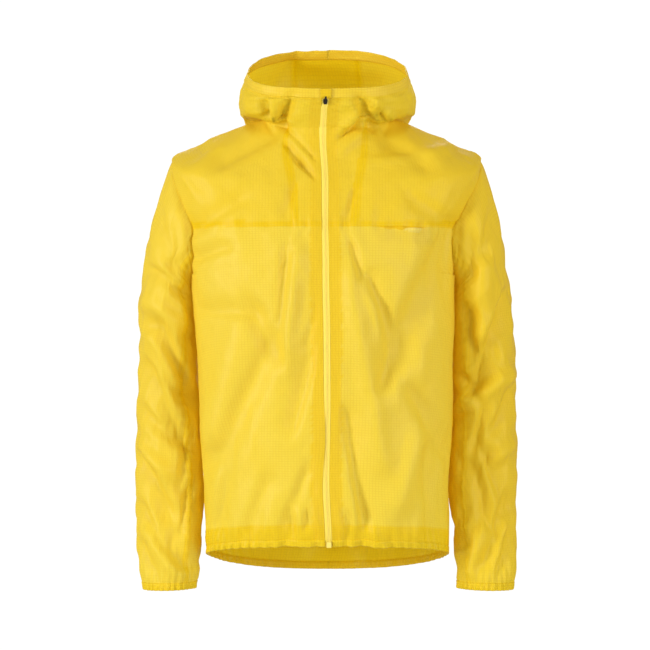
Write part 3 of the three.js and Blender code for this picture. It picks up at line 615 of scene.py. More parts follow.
def sleeve_folded(side, k, w):
    def form(k, w):
        return sleeve_form(side, k, w)

    at = form(k, w)
    normal = normal_of(form, k, w, 0.5 * FINE, 4, 0, CUFF_END) * -side
    folds = LEFT_SLEEVE_FOLDS if side > 0 else RIGHT_SLEEVE_FOLDS
    out, z = side * at[:, 0], at[:, 2]
    front = fold_depth(folds, out, z) * ease(0.15, 0.6, -normal[:, 1])
    behind = fold_depth(SLEEVE_BACK_FOLDS, out, z) * ease(0.15, 0.6, normal[:, 1])
    fade = ease(0, SLEEVE_BLEND * 0.5, w) * ease(CUFF_END, CUFF_END - 40, w)
    return at + normal * ((front + behind) * fade)[:, None]


class Cloth:
    """Patches on one shared set of points, so that neighbours move together."""

    def __init__(self, patches):
        keys, a, b, kind = {}, [], [], []
        self.patches, self.grids, self.quads = patches, [], []
        for patch in patches:
            ids = np.empty(patch.a.shape, int)
            for place in np.ndindex(patch.a.shape):
                pa, pb = patch.a[place], patch.b[place]
                if patch.kind == "body":
                    key = self.key(pa, pb)
                elif pb == 0:
                    side = 1 if patch.kind == "left" else -1
                    t, v = armhole(pa)
                    key = self.key(side * t, v)
                else:
                    key = (patch.kind, round(pa % ARM_COUNT, 3), round(pb, 3))
                if key not in keys:
                    keys[key] = len(a)
                    a.append(pa)
                    b.append(pb)
                    kind.append(patch.kind)
                ids[place] = keys[key]
            self.grids.append(ids)
            self.quads.append(cells(ids, patch.turned))
        self.faces = np.concatenate(self.quads)
        self.a, self.b, self.kind = np.array(a), np.array(b), np.array(kind)
        self.measure()

    @staticmethod
    def key(t, v):
        return ("body", round((t + math.pi) % (2 * math.pi), 5), round(v, 3))

    def measure(self):
        """Where each point lies, in mm: along the cloth, from the zip, and from each seam."""
        body = self.kind == "body"
        self.t = t = np.where(body, (self.a + math.pi) % (2 * math.pi) - math.pi, 0)
        self.v = v = np.where(body, self.b, 0)
        self.around, self.up = along_cloth(body, np.where(body, t, self.a), self.b)
        turn = np.abs(t)
        half = body_section(v)["half"]
        front = body & (turn < FRONT_END)
        self.reach = np.where(front, np.abs(half * np.tan(np.clip(t, -FRONT_END, FRONT_END))), FAR)
        in_yoke = front & (v >= CHEST_SEAM) & (v <= NECK)
        neck_seam = neck_seam_section(np.clip(v, CHEST_SEAM, NECK))["reach"]
        from_side = turn - mix(SIDE_SEAM[0], SIDE_SEAM[1], (v / UNDERARM) ** 2)
        from_sleeve_seam = (self.a % ARM_COUNT - SLEEVE_SEAM) * SLEEVE_ROUND / ARM_COUNT
        self.seams = {
            "chest": np.where(front, v - CHEST_SEAM, FAR),
            "neck": np.where(in_yoke, self.reach - neck_seam, FAR),
            "collar": np.where(body & (turn > neck_seam_angle(NECK)), v - NECK, FAR),
            "hem": np.where(body, v - HEM_BAND_TOP, FAR),
            "rim": np.where(body, HOOD_HEM - v, FAR),
            "side": np.where(body & (v <= UNDERARM), from_side * SIDE_RADIUS, FAR),
            "panel": np.where(body & (v >= NECK), (turn - HOOD_CENTRE) * HOOD_BACK_RADIUS, FAR),
            "arm": np.where(body, FAR, self.b),
            "cuff": np.where(body, FAR, CUFF_TOP - self.b),
            "sleeve": np.where(body, FAR, from_sleeve_seam),
        }

    def place(self):
        """The folded form's points."""
        at = np.zeros((len(self.a), 3))
        body = self.kind == "body"
        at[body] = body_folded(self.a[body], self.b[body])
        for name, side in SIDES:
            mine = self.kind == name
            at[mine] = sleeve_folded(side, self.a[mine], self.b[mine])
        return at

    def normals(self, at):
        p = at[self.faces]
        n = np.cross(p[:, 2] - p[:, 0], p[:, 3] - p[:, 1])
        total = np.zeros_like(at)
        for c in range(4):
            np.add.at(total, self.faces[:, c], n)
        return unit(total)


def cells(ids, turned=False):
    corners = [ids[:-1, :-1], ids[:-1, 1:], ids[1:, 1:], ids[1:, :-1]]
    if turned:
        corners.reverse()
    return np.stack(corners, -1).reshape(-1, 4)


def along_cloth(body, a, b):
    """Distances along the cloth, round and up, in mm, for the weave and the small creases."""
    half = body_section(np.where(body, b, 0))["half"]
    return np.where(body, a * half * MEAN_RADIUS_SHARE, a / ARM_COUNT * SLEEVE_ROUND), b


NOISE_CELLS = 64


def soft_noise(x, y, seed):
    """Smooth noise from -1 to 1, a cell to each unit of x and y."""
    values = np.random.default_rng(seed).uniform(-1, 1, (NOISE_CELLS, NOISE_CELLS))
    column, row = np.floor(x).astype(int), np.floor(y).astype(int)
    fx, fy = ease(0, 1, x - column), ease(0, 1, y - row)

    def at(i, j):
        return values[(column + i) % NOISE_CELLS, (row + j) % NOISE_CELLS]

    return mix(mix(at(0, 0), at(1, 0), fx), mix(at(0, 1), at(1, 1), fx), fy)


def ridged(x, y, seed):
    """Noise with soft crests, like the small creases in thin cloth."""
    return 1 - 2 * np.abs(soft_noise(x, y, seed)) ** 0.8


def near(distance, reach):
    """1 at no distance, fading out past the reach."""
    return np.exp(-((distance / reach) ** 2))


def beside(c):
    """1 where a sleeve's upper part and the body's side face each other."""
    at_side = ease(0.5, 0.2, np.abs(np.abs(c.t) - 1.5))
    body = at_side * ease(UNDERARM - 140, UNDERARM - 60, c.v) * (c.v < UNDERARM + 1)
    arm = ease(-0.2, -0.8, np.cos(arm_angle(c.a))) * ease(0, 20, c.b) * ease(260, 160, c.b)
    return np.where(c.kind == "body", body, arm)


SEAM_PINS = (("chest", 0.2), ("neck", 0.2), ("collar", 0.3), ("side", 0.15), ("panel", 0.2), ("arm", 0.2))
LEAST_PIN = 0.02


def pin_strength(c):
    """How firmly each point is held to the form while the cloth settles, from 0 to 1."""
    hold = np.maximum(LEAST_PIN, near(c.reach, 14))
    for seam, firm in SEAM_PINS:
        hold = np.maximum(hold, firm * near(c.seams[seam], 8))
    for seam in ("hem", "cuff"):
        hold = np.maximum(hold, ease(22, 2, c.seams[seam]))
    hold = np.maximum(hold, 0.9 * ease(20, 4, np.abs(c.seams["rim"])))
    firm = (c.v > NECK - 20) | (beside(c) > 0.5)
    return np.where(firm, np.maximum(hold, 0.3), hold)


# The cloth settles at a scale where the solver is steady. Growth is a share, the furthest move is in mm.
SETTLE_FRAMES = 10
SETTLE_SCALE = 4
GROWTH = 0.03
FURTHEST = 7.0


def settled(c, form):
    """How far each point moves as the cloth, cut a little larger than the form, settles on it."""
    obj = mesh_object("settling", form * SETTLE_SCALE, c.faces)
    group = obj.vertex_groups.new(name="pin")
    weights = np.round(pin_strength(c) ** 0.25, 2)
    for weight in np.unique(weights):
        group.add(np.nonzero(weights == weight)[0].tolist(), float(weight), "REPLACE")
    modifier = obj.modifiers.new("settle", "CLOTH")
    modifier.point_cache.frame_start = 1
    modifier.point_cache.frame_end = SETTLE_FRAMES
    modifier.collision_settings.use_collision = False
    s = modifier.settings
    s.quality = 5
    s.mass = 0.15
    s.tension_stiffness = s.compression_stiffness = 25
    s.shear_stiffness = 8
    s.bending_stiffness = 0.4
    s.tension_damping = s.compression_damping = s.shear_damping = 8
    s.air_damping = 2
    s.vertex_group_mass = "pin"
    s.pin_stiffness = 0.2
    s.shrink_min = -GROWTH
    s.effector_weights.gravity = 0.12
    for frame_number in range(1, SETTLE_FRAMES + 1):
        bpy.context.scene.frame_set(frame_number)
    found = np.empty(len(form) * 3)
    done = obj.evaluated_get(bpy.context.evaluated_depsgraph_get())
    done.data.vertices.foreach_get("co", found)
    moved = found.reshape(-1, 3) / (SETTLE_SCALE * MM) - form
    bpy.data.objects.remove(obj)
    bpy.context.scene.frame_set(1)
    far = np.linalg.norm(moved, axis=1, keepdims=True)
    off_rim = 1 - near(c.seams["rim"], 25)
    return moved * np.minimum(1, FURTHEST / np.maximum(far, 1e-6)) * off_rim[:, None]


def smooth_upsampled(a):
    """A grid with every cell split in four, by smooth curves through its points."""

    def halves(g):
        middle = (g[:-1] + g[1:]) / 2
        middle[1:-1] = (9 * (g[1:-2] + g[2:-1]) - g[:-3] - g[3:]) / 16
        out = np.empty((2 * len(g) - 1,) + g.shape[1:])
        out[::2], out[1::2] = g, middle
        return out

    return np.swapaxes(halves(np.swapaxes(halves(a), 0, 1)), 0, 1)


def drawn_out(moves, times):
    """A grid's moves, evened out along its columns, which leaves the folds that run up and down."""
    moves = moves.copy()
    for _ in range(times):
        moves[1:-1] = (moves[:-2] + 2 * moves[1:-1] + moves[2:]) / 4
    return moves


EVENED = {"body": 9, "left": 1, "right": 1}


def carried(coarse, fine, moved):
    """Moves of the coarse cloth's points, carried over to the finer one."""
    total, count = np.zeros((len(fine.a), 3)), np.zeros(len(fine.a))
    for low, high, patch in zip(coarse.grids, fine.grids, coarse.patches):
        moves = drawn_out(moved[low], EVENED[patch.kind])
        np.add.at(total, high.ravel(), smooth_upsampled(moves).reshape(-1, 3))
        np.add.at(count, high.ravel(), 1)
    return total / count[:, None]


def creases(c):
    """Small uneven creases, and the puckers and gathers beside seams and bindings."""
    around, up, seams = c.around, c.up, c.seams
    warp = 14 * soft_noise(around / 60, up / 60, 1)
    body_crease = 0.45 * ridged((around + warp) / 46, (up - warp) / 120, 2)
    body_crease += 0.4 * ridged((around + up * 0.6 + warp) / 30, (up - around * 0.5) / 75, 3)
    arm_crease = 0.6 * ridged((around + warp) / 80, (up + around * 0.35) / 38, 4)
    arm_crease += 0.4 * ridged((around - up * 0.5) / 50, (up + warp) / 30, 5)
    total = 1.5 * np.where(c.kind == "body", body_crease, arm_crease)
    in_hood = (c.kind == "body") * ease(NECK + 6, NECK + 40, c.v)
    crumple = 1.2 * ridged((around + warp) / 80, (up + around * 0.9) / 70, 14)
    crumple += 0.8 * ridged((around - up * 0.9) / 44, (up + warp) / 60, 15)
    total += in_hood * crumple * ease(8, 40, c.reach)
    total += near(seams["rim"], 34) * 3.4 * soft_noise(around / 75, up / 200, 16)
    total += near(seams["panel"], 5) * 1.6
    total += 2.6 * beside(c)
    by_zip = near(c.reach - 26, 34) * near(seams["hem"] - 20, 46)
    total += by_zip * 3.2 * np.sin((around + 0.3 * up) / 4.4 + 2.5 * soft_noise(around / 40, up / 60, 13))
    total += near(seams["sleeve"], 2.5) * 0.7
    slow = 0.6 + 0.4 * soft_noise(around / 90, up / 90, 6)
    wave = around + 5 * soft_noise(around / 22, up / 40, 7)
    rise = up + 6 * soft_noise(around / 40, up / 25, 8)
    uneven = around + 5.2 * soft_noise(around / 20, up / 30, 9)
    gather = around + 3 * soft_noise(around / 14, up / 60, 10)
    bunched = 0.55 + 0.45 * soft_noise(around / 50, up / 300, 11)
    # Puckers: from where, how far they reach, how high, along what they run, how long, and how they vary
    for distance, reach, height, along, length, varying in (
        (seams["chest"], 14, 0.7, wave, 2.9, slow),
        (seams["neck"], 12, 0.6, rise, 2.8, slow),
        (seams["collar"], 14, 0.8, wave, 2.8, slow),
        (c.reach - ZIP_HALF - FACING_WIDTH, 9, 0.45, rise, 3.1, slow),
        (seams["side"], 10, 0.5, rise, 3.4, slow),
        (seams["panel"], 12, 0.6, rise, 3.0, slow),
        (seams["sleeve"], 13, 1.3, rise, 2.9, slow),
        (seams["arm"], 13, 0.8, uneven, 2.6, slow),
        (seams["hem"], 26, 2.4, gather, 2.3, bunched),
        (seams["cuff"], 26, 1.6, gather, 2.2, slow),
        (seams["rim"], 10, 0.15, wave, 3.2, slow),
    ):
        total += near(distance, reach) * height * np.sin(along / length) * varying
    calm = ease(3, 16, c.reach - ZIP_HALF + 3)
    edge = np.minimum(np.minimum(np.abs(seams["hem"]), np.abs(seams["cuff"])), np.abs(seams["rim"]))
    return total * calm * (0.35 + 0.65 * ease(0, 6, edge))


def band_strength(c):
    """1 where the cloth is doubled by a facing, a hem or a seam allowance, which deepens its colour."""
    seams = c.seams
    bands = (
        (c.reach < ZIP_HALF + FACING_WIDTH, 0.75),
        ((seams["chest"] > -1) & (seams["chest"] < 10), 1.15),
        ((seams["neck"] > -11) & (seams["neck"] < 1), 1.17),
        (seams["hem"] < 26, 1.0),
        (np.abs(seams["side"]) < 4, 0.7),
        (np.abs(seams["panel"]) < 5, 1.17),
        (seams["arm"] < 8, 0.8),
        (np.abs(seams["sleeve"]) < 5, 0.9),
        (seams["rim"] < 2, 0.8),
    )
    strength = np.zeros(len(c.a))
    for there, value in bands:
        strength = np.maximum(strength, value * there)
    return strength


def mesh_object(name, points, faces, attributes=(), uv=None, smooth=True):
    """uv has a row for each point, or for each corner of each face."""
    mesh = bpy.data.meshes.new(name)
    mesh.from_pydata((points * MM).tolist(), [], faces.tolist() if hasattr(faces, "tolist") else faces)
    for label, values in attributes:
        data = mesh.attributes.new(label, "FLOAT", "POINT").data
        data.foreach_set("value", np.ascontiguousarray(values, dtype=np.float32))
    if uv is not None:
        if uv.ndim == 2:
            loops = np.empty(len(mesh.loops), int)
            mesh.loops.foreach_get("vertex_index", loops)
            uv = uv[loops]
        layer = mesh.uv_layers.new(name="cloth")
        layer.data.foreach_set("uv", np.ascontiguousarray(uv * MM, dtype=np.float32).ravel())
    if smooth:
        mesh.polygons.foreach_set("use_smooth", [True] * len(mesh.polygons))
    mesh.update()
    obj = bpy.data.objects.new(name, mesh)
    bpy.context.scene.collection.objects.link(obj)
    return obj


# The panels: settle a coarser cloth, carry its moves to the finer one, then crease that
coarse = Cloth(patches)
fine_patches = [Patch(p.piece, p.kind, upsampled(p.a), upsampled(p.b), p.turned) for p in patches]
cloth = Cloth(fine_patches)
at = cloth.place()
at = at + carried(coarse, cloth, settled(coarse, coarse.place()))
at = at + cloth.normals(at) * creases(cloth)[:, None]
normals = cloth.normals(at)
doubled = band_strength(cloth)
lengths = np.stack([cloth.around, cloth.up], -1)


def grids_of(name):
    return [cloth.grids[i] for i, patch in enumerate(fine_patches) if patch.piece == name]


# The pocket's mouth, in columns of the front's top edge, and how far apart the rows there are, in mm
POCKET_MOUTH = (4 * 2 * FINE, 7 * 2 * FINE)
POCKET_ROW = 1.95
POCKET_FACING_ROWS = 14
# Where it gapes: the column, how many columns that reaches, and its share of the depth
POCKET_GAPS = ((27.5, 1.8, 1), (31.6, 1.3, 0.9), (35.7, 2.2, 0.3))
POCKET_PUFF = 35.7


def gaping_pocket():
    """The pocket's mouth: the front's top edge hangs open between two columns of the chest seam."""
    grid = grids_of("front_left")[0]
    start, end = POCKET_MOUTH
    column = np.arange(grid.shape[1])
    wide = np.sin(math.pi * np.clip((column - start) / (end - start), 0, 1))
    wide = np.clip(wide, 0, 1) ** 0.7
    gap = sum(share * near(column - place, reach) for place, reach, share in POCKET_GAPS)
    below = (grid.shape[0] - 1 - np.arange(grid.shape[0])) * POCKET_ROW
    amount = (near(below, 10)[:, None] * wide)[..., None]
    outwards = normals[grid] * (2 + 4 * near(column - POCKET_PUFF, 2.4))[:, None]
    down = np.outer(1.2 + 5 * gap, (0, 0, -1))
    moves = np.zeros_like(at)
    moves[grid] = amount * (outwards + down)
    return moves


# The height where the right front lies over the zip
OVERLAP_Z = -487


def overlapping_placket():
    """Below the chest the right front's edge lies partly over the zip."""
    there = (cloth.t < 0) & (cloth.reach < 30) & (cloth.v < CHEST_SEAM)
    amount = near(at[:, 2] - OVERLAP_Z, 42) * ease(30, 8, cloth.reach) * there
    moves = normals * (1.3 * amount)[:, None]
    moves[:, 0] += 3.4 * amount
    return moves


# What one piece does apart from its neighbours, as further moves of its points
own_moves = {"front_left": gaping_pocket(), "front_right": overlapping_placket()}

# A painted highlight at the pocket's mouth, where its folded-out edge catches the light, as the last rows of
# the front's grid and some of its columns
pocket_painted_highlight = np.zeros(len(at), bool)
for last_rows, first, past in ((5, 34, 38), (3, 33, 39)):
    pocket_painted_highlight[grids_of("front_left")[0][-last_rows:, first:past]] = True


# Where other layers lie behind a panel its whole colour is deeper. The values also paint shade: fullest
# inside the hood and on the back's inside, and deeper on the side away from the key light
LAYERS_AND_PAINTED_SHADE = {
    "yoke_left": 0.62,
    "yoke_right": 0.45,
    "hood_side_left": 0.55,
    "hood_side_right": 0.55,
    "hood_centre": 1.0,
    "back": 0.8,
    "sleeve_left": 0.6,
    "sleeve_right": 0.2,
}


def cloth_piece(name):
    """A panel as one sheet."""
    mine = [i for i, patch in enumerate(fine_patches) if patch.piece == name]
    faces = np.concatenate([cloth.quads[i] for i in mine])
    corner_uv = []
    for i in mine:
        patch = fine_patches[i]
        body = np.full(patch.a.shape, patch.kind == "body")
        uv = np.stack(along_cloth(body, patch.a, patch.b), -1).reshape(-1, 2)
        places = np.arange(patch.a.size).reshape(patch.a.shape)
        corner_uv.append(uv[cells(places, patch.turned)].reshape(-1, 2))
    ids, back_to = np.unique(faces, return_inverse=True)
    points = at + own_moves.get(name, 0)
    # The panel's deeper colour, for the layers behind it and as painted shade
    strength = np.maximum(doubled[ids], LAYERS_AND_PAINTED_SHADE.get(name, 0))
    # A painted highlight at the pocket's mouth: -1 makes the shader paint it pale
    if name == "front_left":
        strength = np.where(pocket_painted_highlight[ids], -1.0, strength)
    # The doubled attribute also carries the painted shade and the painted highlight
    attributes = [("doubled", strength)]
    faces = back_to.reshape(faces.shape)
    return mesh_object(f"{name}_cloth", points[ids], faces, attributes, np.concatenate(corner_uv)[:, None])


def shell_of(name, points, out, outside, inside, uv, wraps=False, strength=1.0):
    """A closed double layer round a grid of points (rows, columns), with rounded long edges."""
    outer = points + out * outside
    inner = points + out * inside
    turn = (outside - inside) * 0.45

    def edge(last, before):
        along = unit(points[last] - points[before])
        return (outer[last] + inner[last]) / 2 + along * turn

    rings = np.concatenate([outer, edge(-1, -2)[None], inner[::-1], edge(0, 1)[None]])
    count, columns = rings.shape[:2]
    ids = np.arange(count * columns).reshape(count, columns)
    ids = np.concatenate([ids, ids[:1]])
    if wraps:
        ids = np.concatenate([ids, ids[:, :1]], axis=1)
    faces = cells(ids).tolist()
    if not wraps:
        faces += [ids[:-1, 0].tolist(), ids[:-1, -1][::-1].tolist()]
    flat = rings.reshape(-1, 3)

    def corner(k):
        return flat[[face[k] for face in faces]]

    if sum(np.sum(corner(0) * np.cross(corner(k), corner(k + 1))) for k in (1, 2)) < 0:
        faces = [face[::-1] for face in faces]
    rows = [*range(len(points)), len(points) - 1, *range(len(points) - 1, -1, -1), 0]
    flat_uv = uv[rows].reshape(-1, 2)
    attributes = [("doubled", np.full(len(flat), strength))]
    return mesh_object(f"{name}_cloth", flat, faces, attributes, flat_uv)


# Bindings, tapes and the zip garage, on grids of their own, as fine as their gathers need
RING = 2 * FRONT_COLUMNS + BACK_COLUMNS


def hem_angle(i, v):
    seam = side_seam(HEM_BAND_TOP)
    if i <= FRONT_COLUMNS:
        return beside_zip(i, v, FRONT_COLUMNS, seam)
    if i <= FRONT_COLUMNS + BACK_COLUMNS:
        return mix(seam, 2 * math.pi - seam, (i - FRONT_COLUMNS) / BACK_COLUMNS)
    return 2 * math.pi - beside_zip(RING - i, v, FRONT_COLUMNS, seam)


HEM_BAND_STEP = 1.9
GARAGE_HALF = 8.5
GARAGE_COLUMNS, GARAGE_ROWS = 12, 8
TAPE_COLUMNS, TAPE_ROWS = 4, 250


def hem_band_place(i, j):
    v = j * HEM_BAND_STEP
    return hem_angle(i / 4, v), v


def garage_place(i, j):
    v = mix(HOOD_HEM - 1, RIM, j / GARAGE_ROWS)
    return angle_at((2 * i / GARAGE_COLUMNS - 1) * GARAGE_HALF, v), v


def tape_place(i, j):
    v = j / TAPE_ROWS * HOOD_HEM
    return angle_at(i / TAPE_COLUMNS * ZIP_HALF, v), v


trim_patches = [
    patch_of("hem_band", RING * 4, 5, hem_band_place),
    patch_of("zip_garage", GARAGE_COLUMNS, GARAGE_ROWS, garage_place),
]
for name, side in SIDES:
    k, w = np.meshgrid(np.linspace(0, ARM_COUNT, 4 * ARM_COUNT + 1), np.linspace(CUFF_TOP - 1.5, CUFF_END, 6))
    trim_patches.append(Patch(f"cuff_{name}", name, k, w, turned=side > 0))
    trim_patches.append(patch_of(f"zip_tape_{name}", TAPE_COLUMNS, TAPE_ROWS, tape_place, side))
trim = Cloth(trim_patches)
trim_at = trim.place()
trim_at = trim_at + trim.normals(trim_at) * creases(trim)[:, None]
fine_gather = np.sin(trim.around / 0.78 + 1.5 * soft_noise(trim.around / 9, trim.up / 9, 12))
gathered = (np.abs(trim.seams["hem"]) < 12) | (np.abs(trim.seams["cuff"]) < 12)
trim_at = trim_at + trim.normals(trim_at) * (0.3 * fine_gather * gathered)[:, None]
trim_normals = trim.normals(trim_at)


def trim_grid(name):
    return trim.grids[[patch.piece for patch in trim_patches].index(name)]


def trim_shell(name, outside, inside, wraps=False, strength=1.0):
    grid = trim_grid(name)
    if wraps:
        grid = grid[:, :-1]
    uv = np.stack([trim.around, trim.up], -1)[grid]
    return shell_of(name, trim_at[grid], trim_normals[grid], outside, inside, uv, wraps, strength)


def facing_piece(name, grids, columns, depth=1.3):
    """A strip inside the cloth, from some of its columns, folded back from its edge."""
    points, faces, uv = [], [], []
    start = 0
    source = at + own_moves.get(name.replace("zip_facing", "front"), 0)
    for grid in grids:
        part = grid[:, columns]
        base, out = source[part], normals[part]
        layers = np.concatenate([base[:, :1], base - out * depth], axis=1)
        ids = start + np.arange(layers.shape[0] * layers.shape[1]).reshape(layers.shape[:2])
        faces.append(cells(ids))
        points.append(layers.reshape(-1, 3))
        uv.append(np.concatenate([lengths[part][:, :1], lengths[part]], axis=1).reshape(-1, 2))
        start += ids.size
    points = np.concatenate(points)
    attributes = [("doubled", np.ones(len(points)))]
    return mesh_object(f"{name}_cloth", points, np.concatenate(faces), attributes, np.concatenate(uv))


def box_faces(count, base=0):
    """Open-bottomed boxes: four corners below, then four above."""
    sides = [(4, 5, 6, 7), (0, 1, 5, 4), (1, 2, 6, 5), (2, 3, 7, 6), (3, 0, 4, 7)]
    return (np.arange(count)[:, None, None] * 8 + np.array(sides)[None] + base).reshape(-1, 4)


def bars(starts, ends, out, width, low, high, taper=0.75):
    """Little bars from starts to ends, standing from low to high along out."""
    side = unit(np.cross(ends - starts, out)) * width / 2
    middle = (starts + ends) / 2
    below = [starts - side, starts + side, ends + side, ends - side]
    above = [middle + (p - middle) * taper for p in below]
    corners = [p + out * low for p in below] + [p + out * high for p in above]
    return np.stack(corners, 1).reshape(-1, 3)


def distances(path):
    """How far along a path each of its points is."""
    return np.concatenate([[0], np.cumsum(np.linalg.norm(np.diff(path, axis=0), axis=1))])


def sampled(places, run, values):
    return np.stack([np.interp(places, run, values[:, axis]) for axis in range(3)], -1)


def stitch_row(path, out, pitch=3.1, length=2.2):
    run = distances(path)
    starts = np.arange(1.0, run[-1] - length, pitch)
    ends = sampled(starts + length, run, path)
    up = unit(sampled(starts + length / 2, run, out))
    return bars(sampled(starts, run, path), ends, up, 0.45, -0.1, 0.28)


def grid_line(name, axis, place, part=0):
    """Points and normals along a line between two lines of a panel's grid."""
    grid = grids_of(name)[part]
    lines = grid if axis == "row" else grid.T
    low = int(place)
    points = at + own_moves.get(name, 0)
    path, out = [mix(values[lines[low]], values[lines[low + 1]], place - low) for values in (points, normals)]
    return path, unit(out)


INSET_END = 2 * INSET_COLUMNS
FACING_END = 2 * FACING_COLUMNS
# Rows of stitches: the panel, which way the row runs in its grid, where, and in which patch of the panel
SIDE_STITCHES = (
    ("front", "column", 0.4, 0),
    ("front", "column", FACING_END - 0.3, 0),
    ("front", "row", 4.6, 0),
    ("front", "column", 2 * FRONT_COLUMNS - 0.6, 0),
    ("yoke", "row", 0.5, 0),
    ("yoke", "row", 2.0, 0),
    ("hood_side", "row", 0.5, 0),
    ("hood_side", "row", 2.0, 0),
    ("hood_side", "column", INSET_END - 0.5, 0),
    ("hood_side", "column", INSET_END - 2.6, 0),
    ("hood_side", "column", 0.4, 0),
    ("hood_side", "column", FACING_END - 0.3, 0),
    ("hood_side", "column", 0.4, 1),
    ("hood_side", "column", FACING_END - 0.3, 1),
    ("hood_side", "row", 0.5, 1),
    ("hood_side", "column", 2 * HOOD_COLUMNS - 0.7, 1),
    ("yoke", "row", 2 * ARM_YOKE - 0.5, 0),
    ("yoke", "column", 2 * YOKE_COLUMNS - 0.6, 0),
    ("sleeve", "row", 0.5, 0),
    ("sleeve", "column", 2 * SLEEVE_SEAM + 0.5, 0),
    ("sleeve", "row", 2 * SLEEVE_ROWS - 1.0, 0),
)
MIDDLE_STITCHES = (
    ("back", "row", 4.6),
    ("hood_hem", "row", 0.4),
    ("hood_hem", "row", 5.4),
    ("hood_centre", "column", 0.7),
    ("hood_centre", "column", 2 * HOOD_CENTRE_COLUMNS - 0.7),
)
rows = [grid_line(f"{panel}_{name}", *line) for name, _ in SIDES for panel, *line in SIDE_STITCHES]
rows += [grid_line(*line) for line in MIDDLE_STITCHES]
stitches = [stitch_row(*row) for row in rows]
for name, row in (("hem_band", 4), ("cuff_left", 1), ("cuff_right", 1)):
    line = trim_grid(name)[row]
    stitches.append(stitch_row(trim_at[line] + trim_normals[line] * 0.9, trim_normals[line]))
for line in trim_grid("zip_garage").T[[1, -2]]:
    stitches.append(stitch_row(trim_at[line] + trim_normals[line] * 1.7, trim_normals[line], 2.2, 1.4))
stitch_points = np.concatenate(stitches)

COIL_PITCH = 1.5
COIL_START, COIL_END = 9, 7


def coil(side):
    """The zip's coil on one tape, as teeth that reach just past the middle."""
    grid = trim_grid("zip_tape_left")
    run = distances(trim_at[grid[:, 0]])
    start = COIL_START if side > 0 else COIL_START + COIL_PITCH / 2
    places = np.arange(start, run[-1] - COIL_END, COIL_PITCH)
    middle, edge = [sampled(places, run, trim_at[grid[:, column]]) for column in (0, -1)]
    out = unit(sampled(places, run, trim_normals[grid[:, 0]]))
    across = unit(edge - middle) * side
    return bars(middle - across * 0.25, middle + across * 2.1, out, 0.95, -0.5, 0.45, 0.8)


coil_points = np.concatenate([coil(1), coil(-1)])


# Materials
def new_material(name, base, roughness):
    material = bpy.data.materials.new(name)
    material.use_nodes = True
    shader = material.node_tree.nodes["Principled BSDF"]
    shader.inputs["Base Color"].default_value = (*base, 1)
    shader.inputs["Roughness"].default_value = roughness
    return material, material.node_tree, shader


class Nodes:
    """A short way to write node networks."""

    def __init__(self, tree):
        self.tree = tree

    def add(self, kind, **settings):
        node = self.tree.nodes.new(kind)
        for name, value in settings.items():
            setattr(node, name, value)
        return node

    def link(self, value, socket):
        if hasattr(value, "is_linked") or hasattr(value, "links"):
            self.tree.links.new(value, socket)
        else:
            socket.default_value = value

    def math(self, operation, a, b=0.0, clamp=False):
        node = self.add("ShaderNodeMath", operation=operation, use_clamp=clamp)
        self.link(a, node.inputs[0])
        self.link(b, node.inputs[1])
        return node.outputs[0]

    def mix(self, factor, a, b, blend="MIX"):
        node = self.add("ShaderNodeMix", data_type="RGBA", blend_type=blend)
        self.link(factor, node.inputs["Factor"])
        self.link(a, node.inputs["A"])
        self.link(b, node.inputs["B"])
        return node.outputs["Result"]

    def noise(self, vector, scale, detail=3.0, roughness=0.55):
        node = self.add("ShaderNodeTexNoise")
        self.link(vector, node.inputs["Vector"])
        node.inputs["Scale"].default_value = scale
        node.inputs["Detail"].default_value = detail
        node.inputs["Roughness"].default_value = roughness
        return node.outputs["Fac"]

    def bump(self, height, strength, distance, normal=None):
        node = self.add("ShaderNodeBump")
        node.inputs["Strength"].default_value = strength
        node.inputs["Distance"].default_value = distance
        self.link(height, node.inputs["Height"])
        if normal is not None:
            self.link(normal, node.inputs["Normal"])
        return node.outputs["Normal"]


def grid_lines(n, coordinate, pitch, width):
    """1 on thin lines a pitch apart, 0 between them."""
    cell = n.math("FRACT", n.math("DIVIDE", coordinate, pitch))
    off = n.math("ABSOLUTE", n.math("SUBTRACT", cell, 0.5))
    return n.math("GREATER_THAN", off, 0.5 - width / pitch / 2)


def srgb(r, g, b):
    return tuple(c / 255 / 12.92 if c <= 10 else ((c / 255 + 0.055) / 1.055) ** 2.4 for c in (r, g, b))


DEEP = srgb(251, 216, 6)
# The colour of a painted highlight
PAINTED_HIGHLIGHT = srgb(255, 240, 120)
THREADS = srgb(214, 164, 6)
# The ripstop's thicker threads, in metres
RIPSTOP_PITCH = 0.0038
RIPSTOP_WIDTH = 0.0008


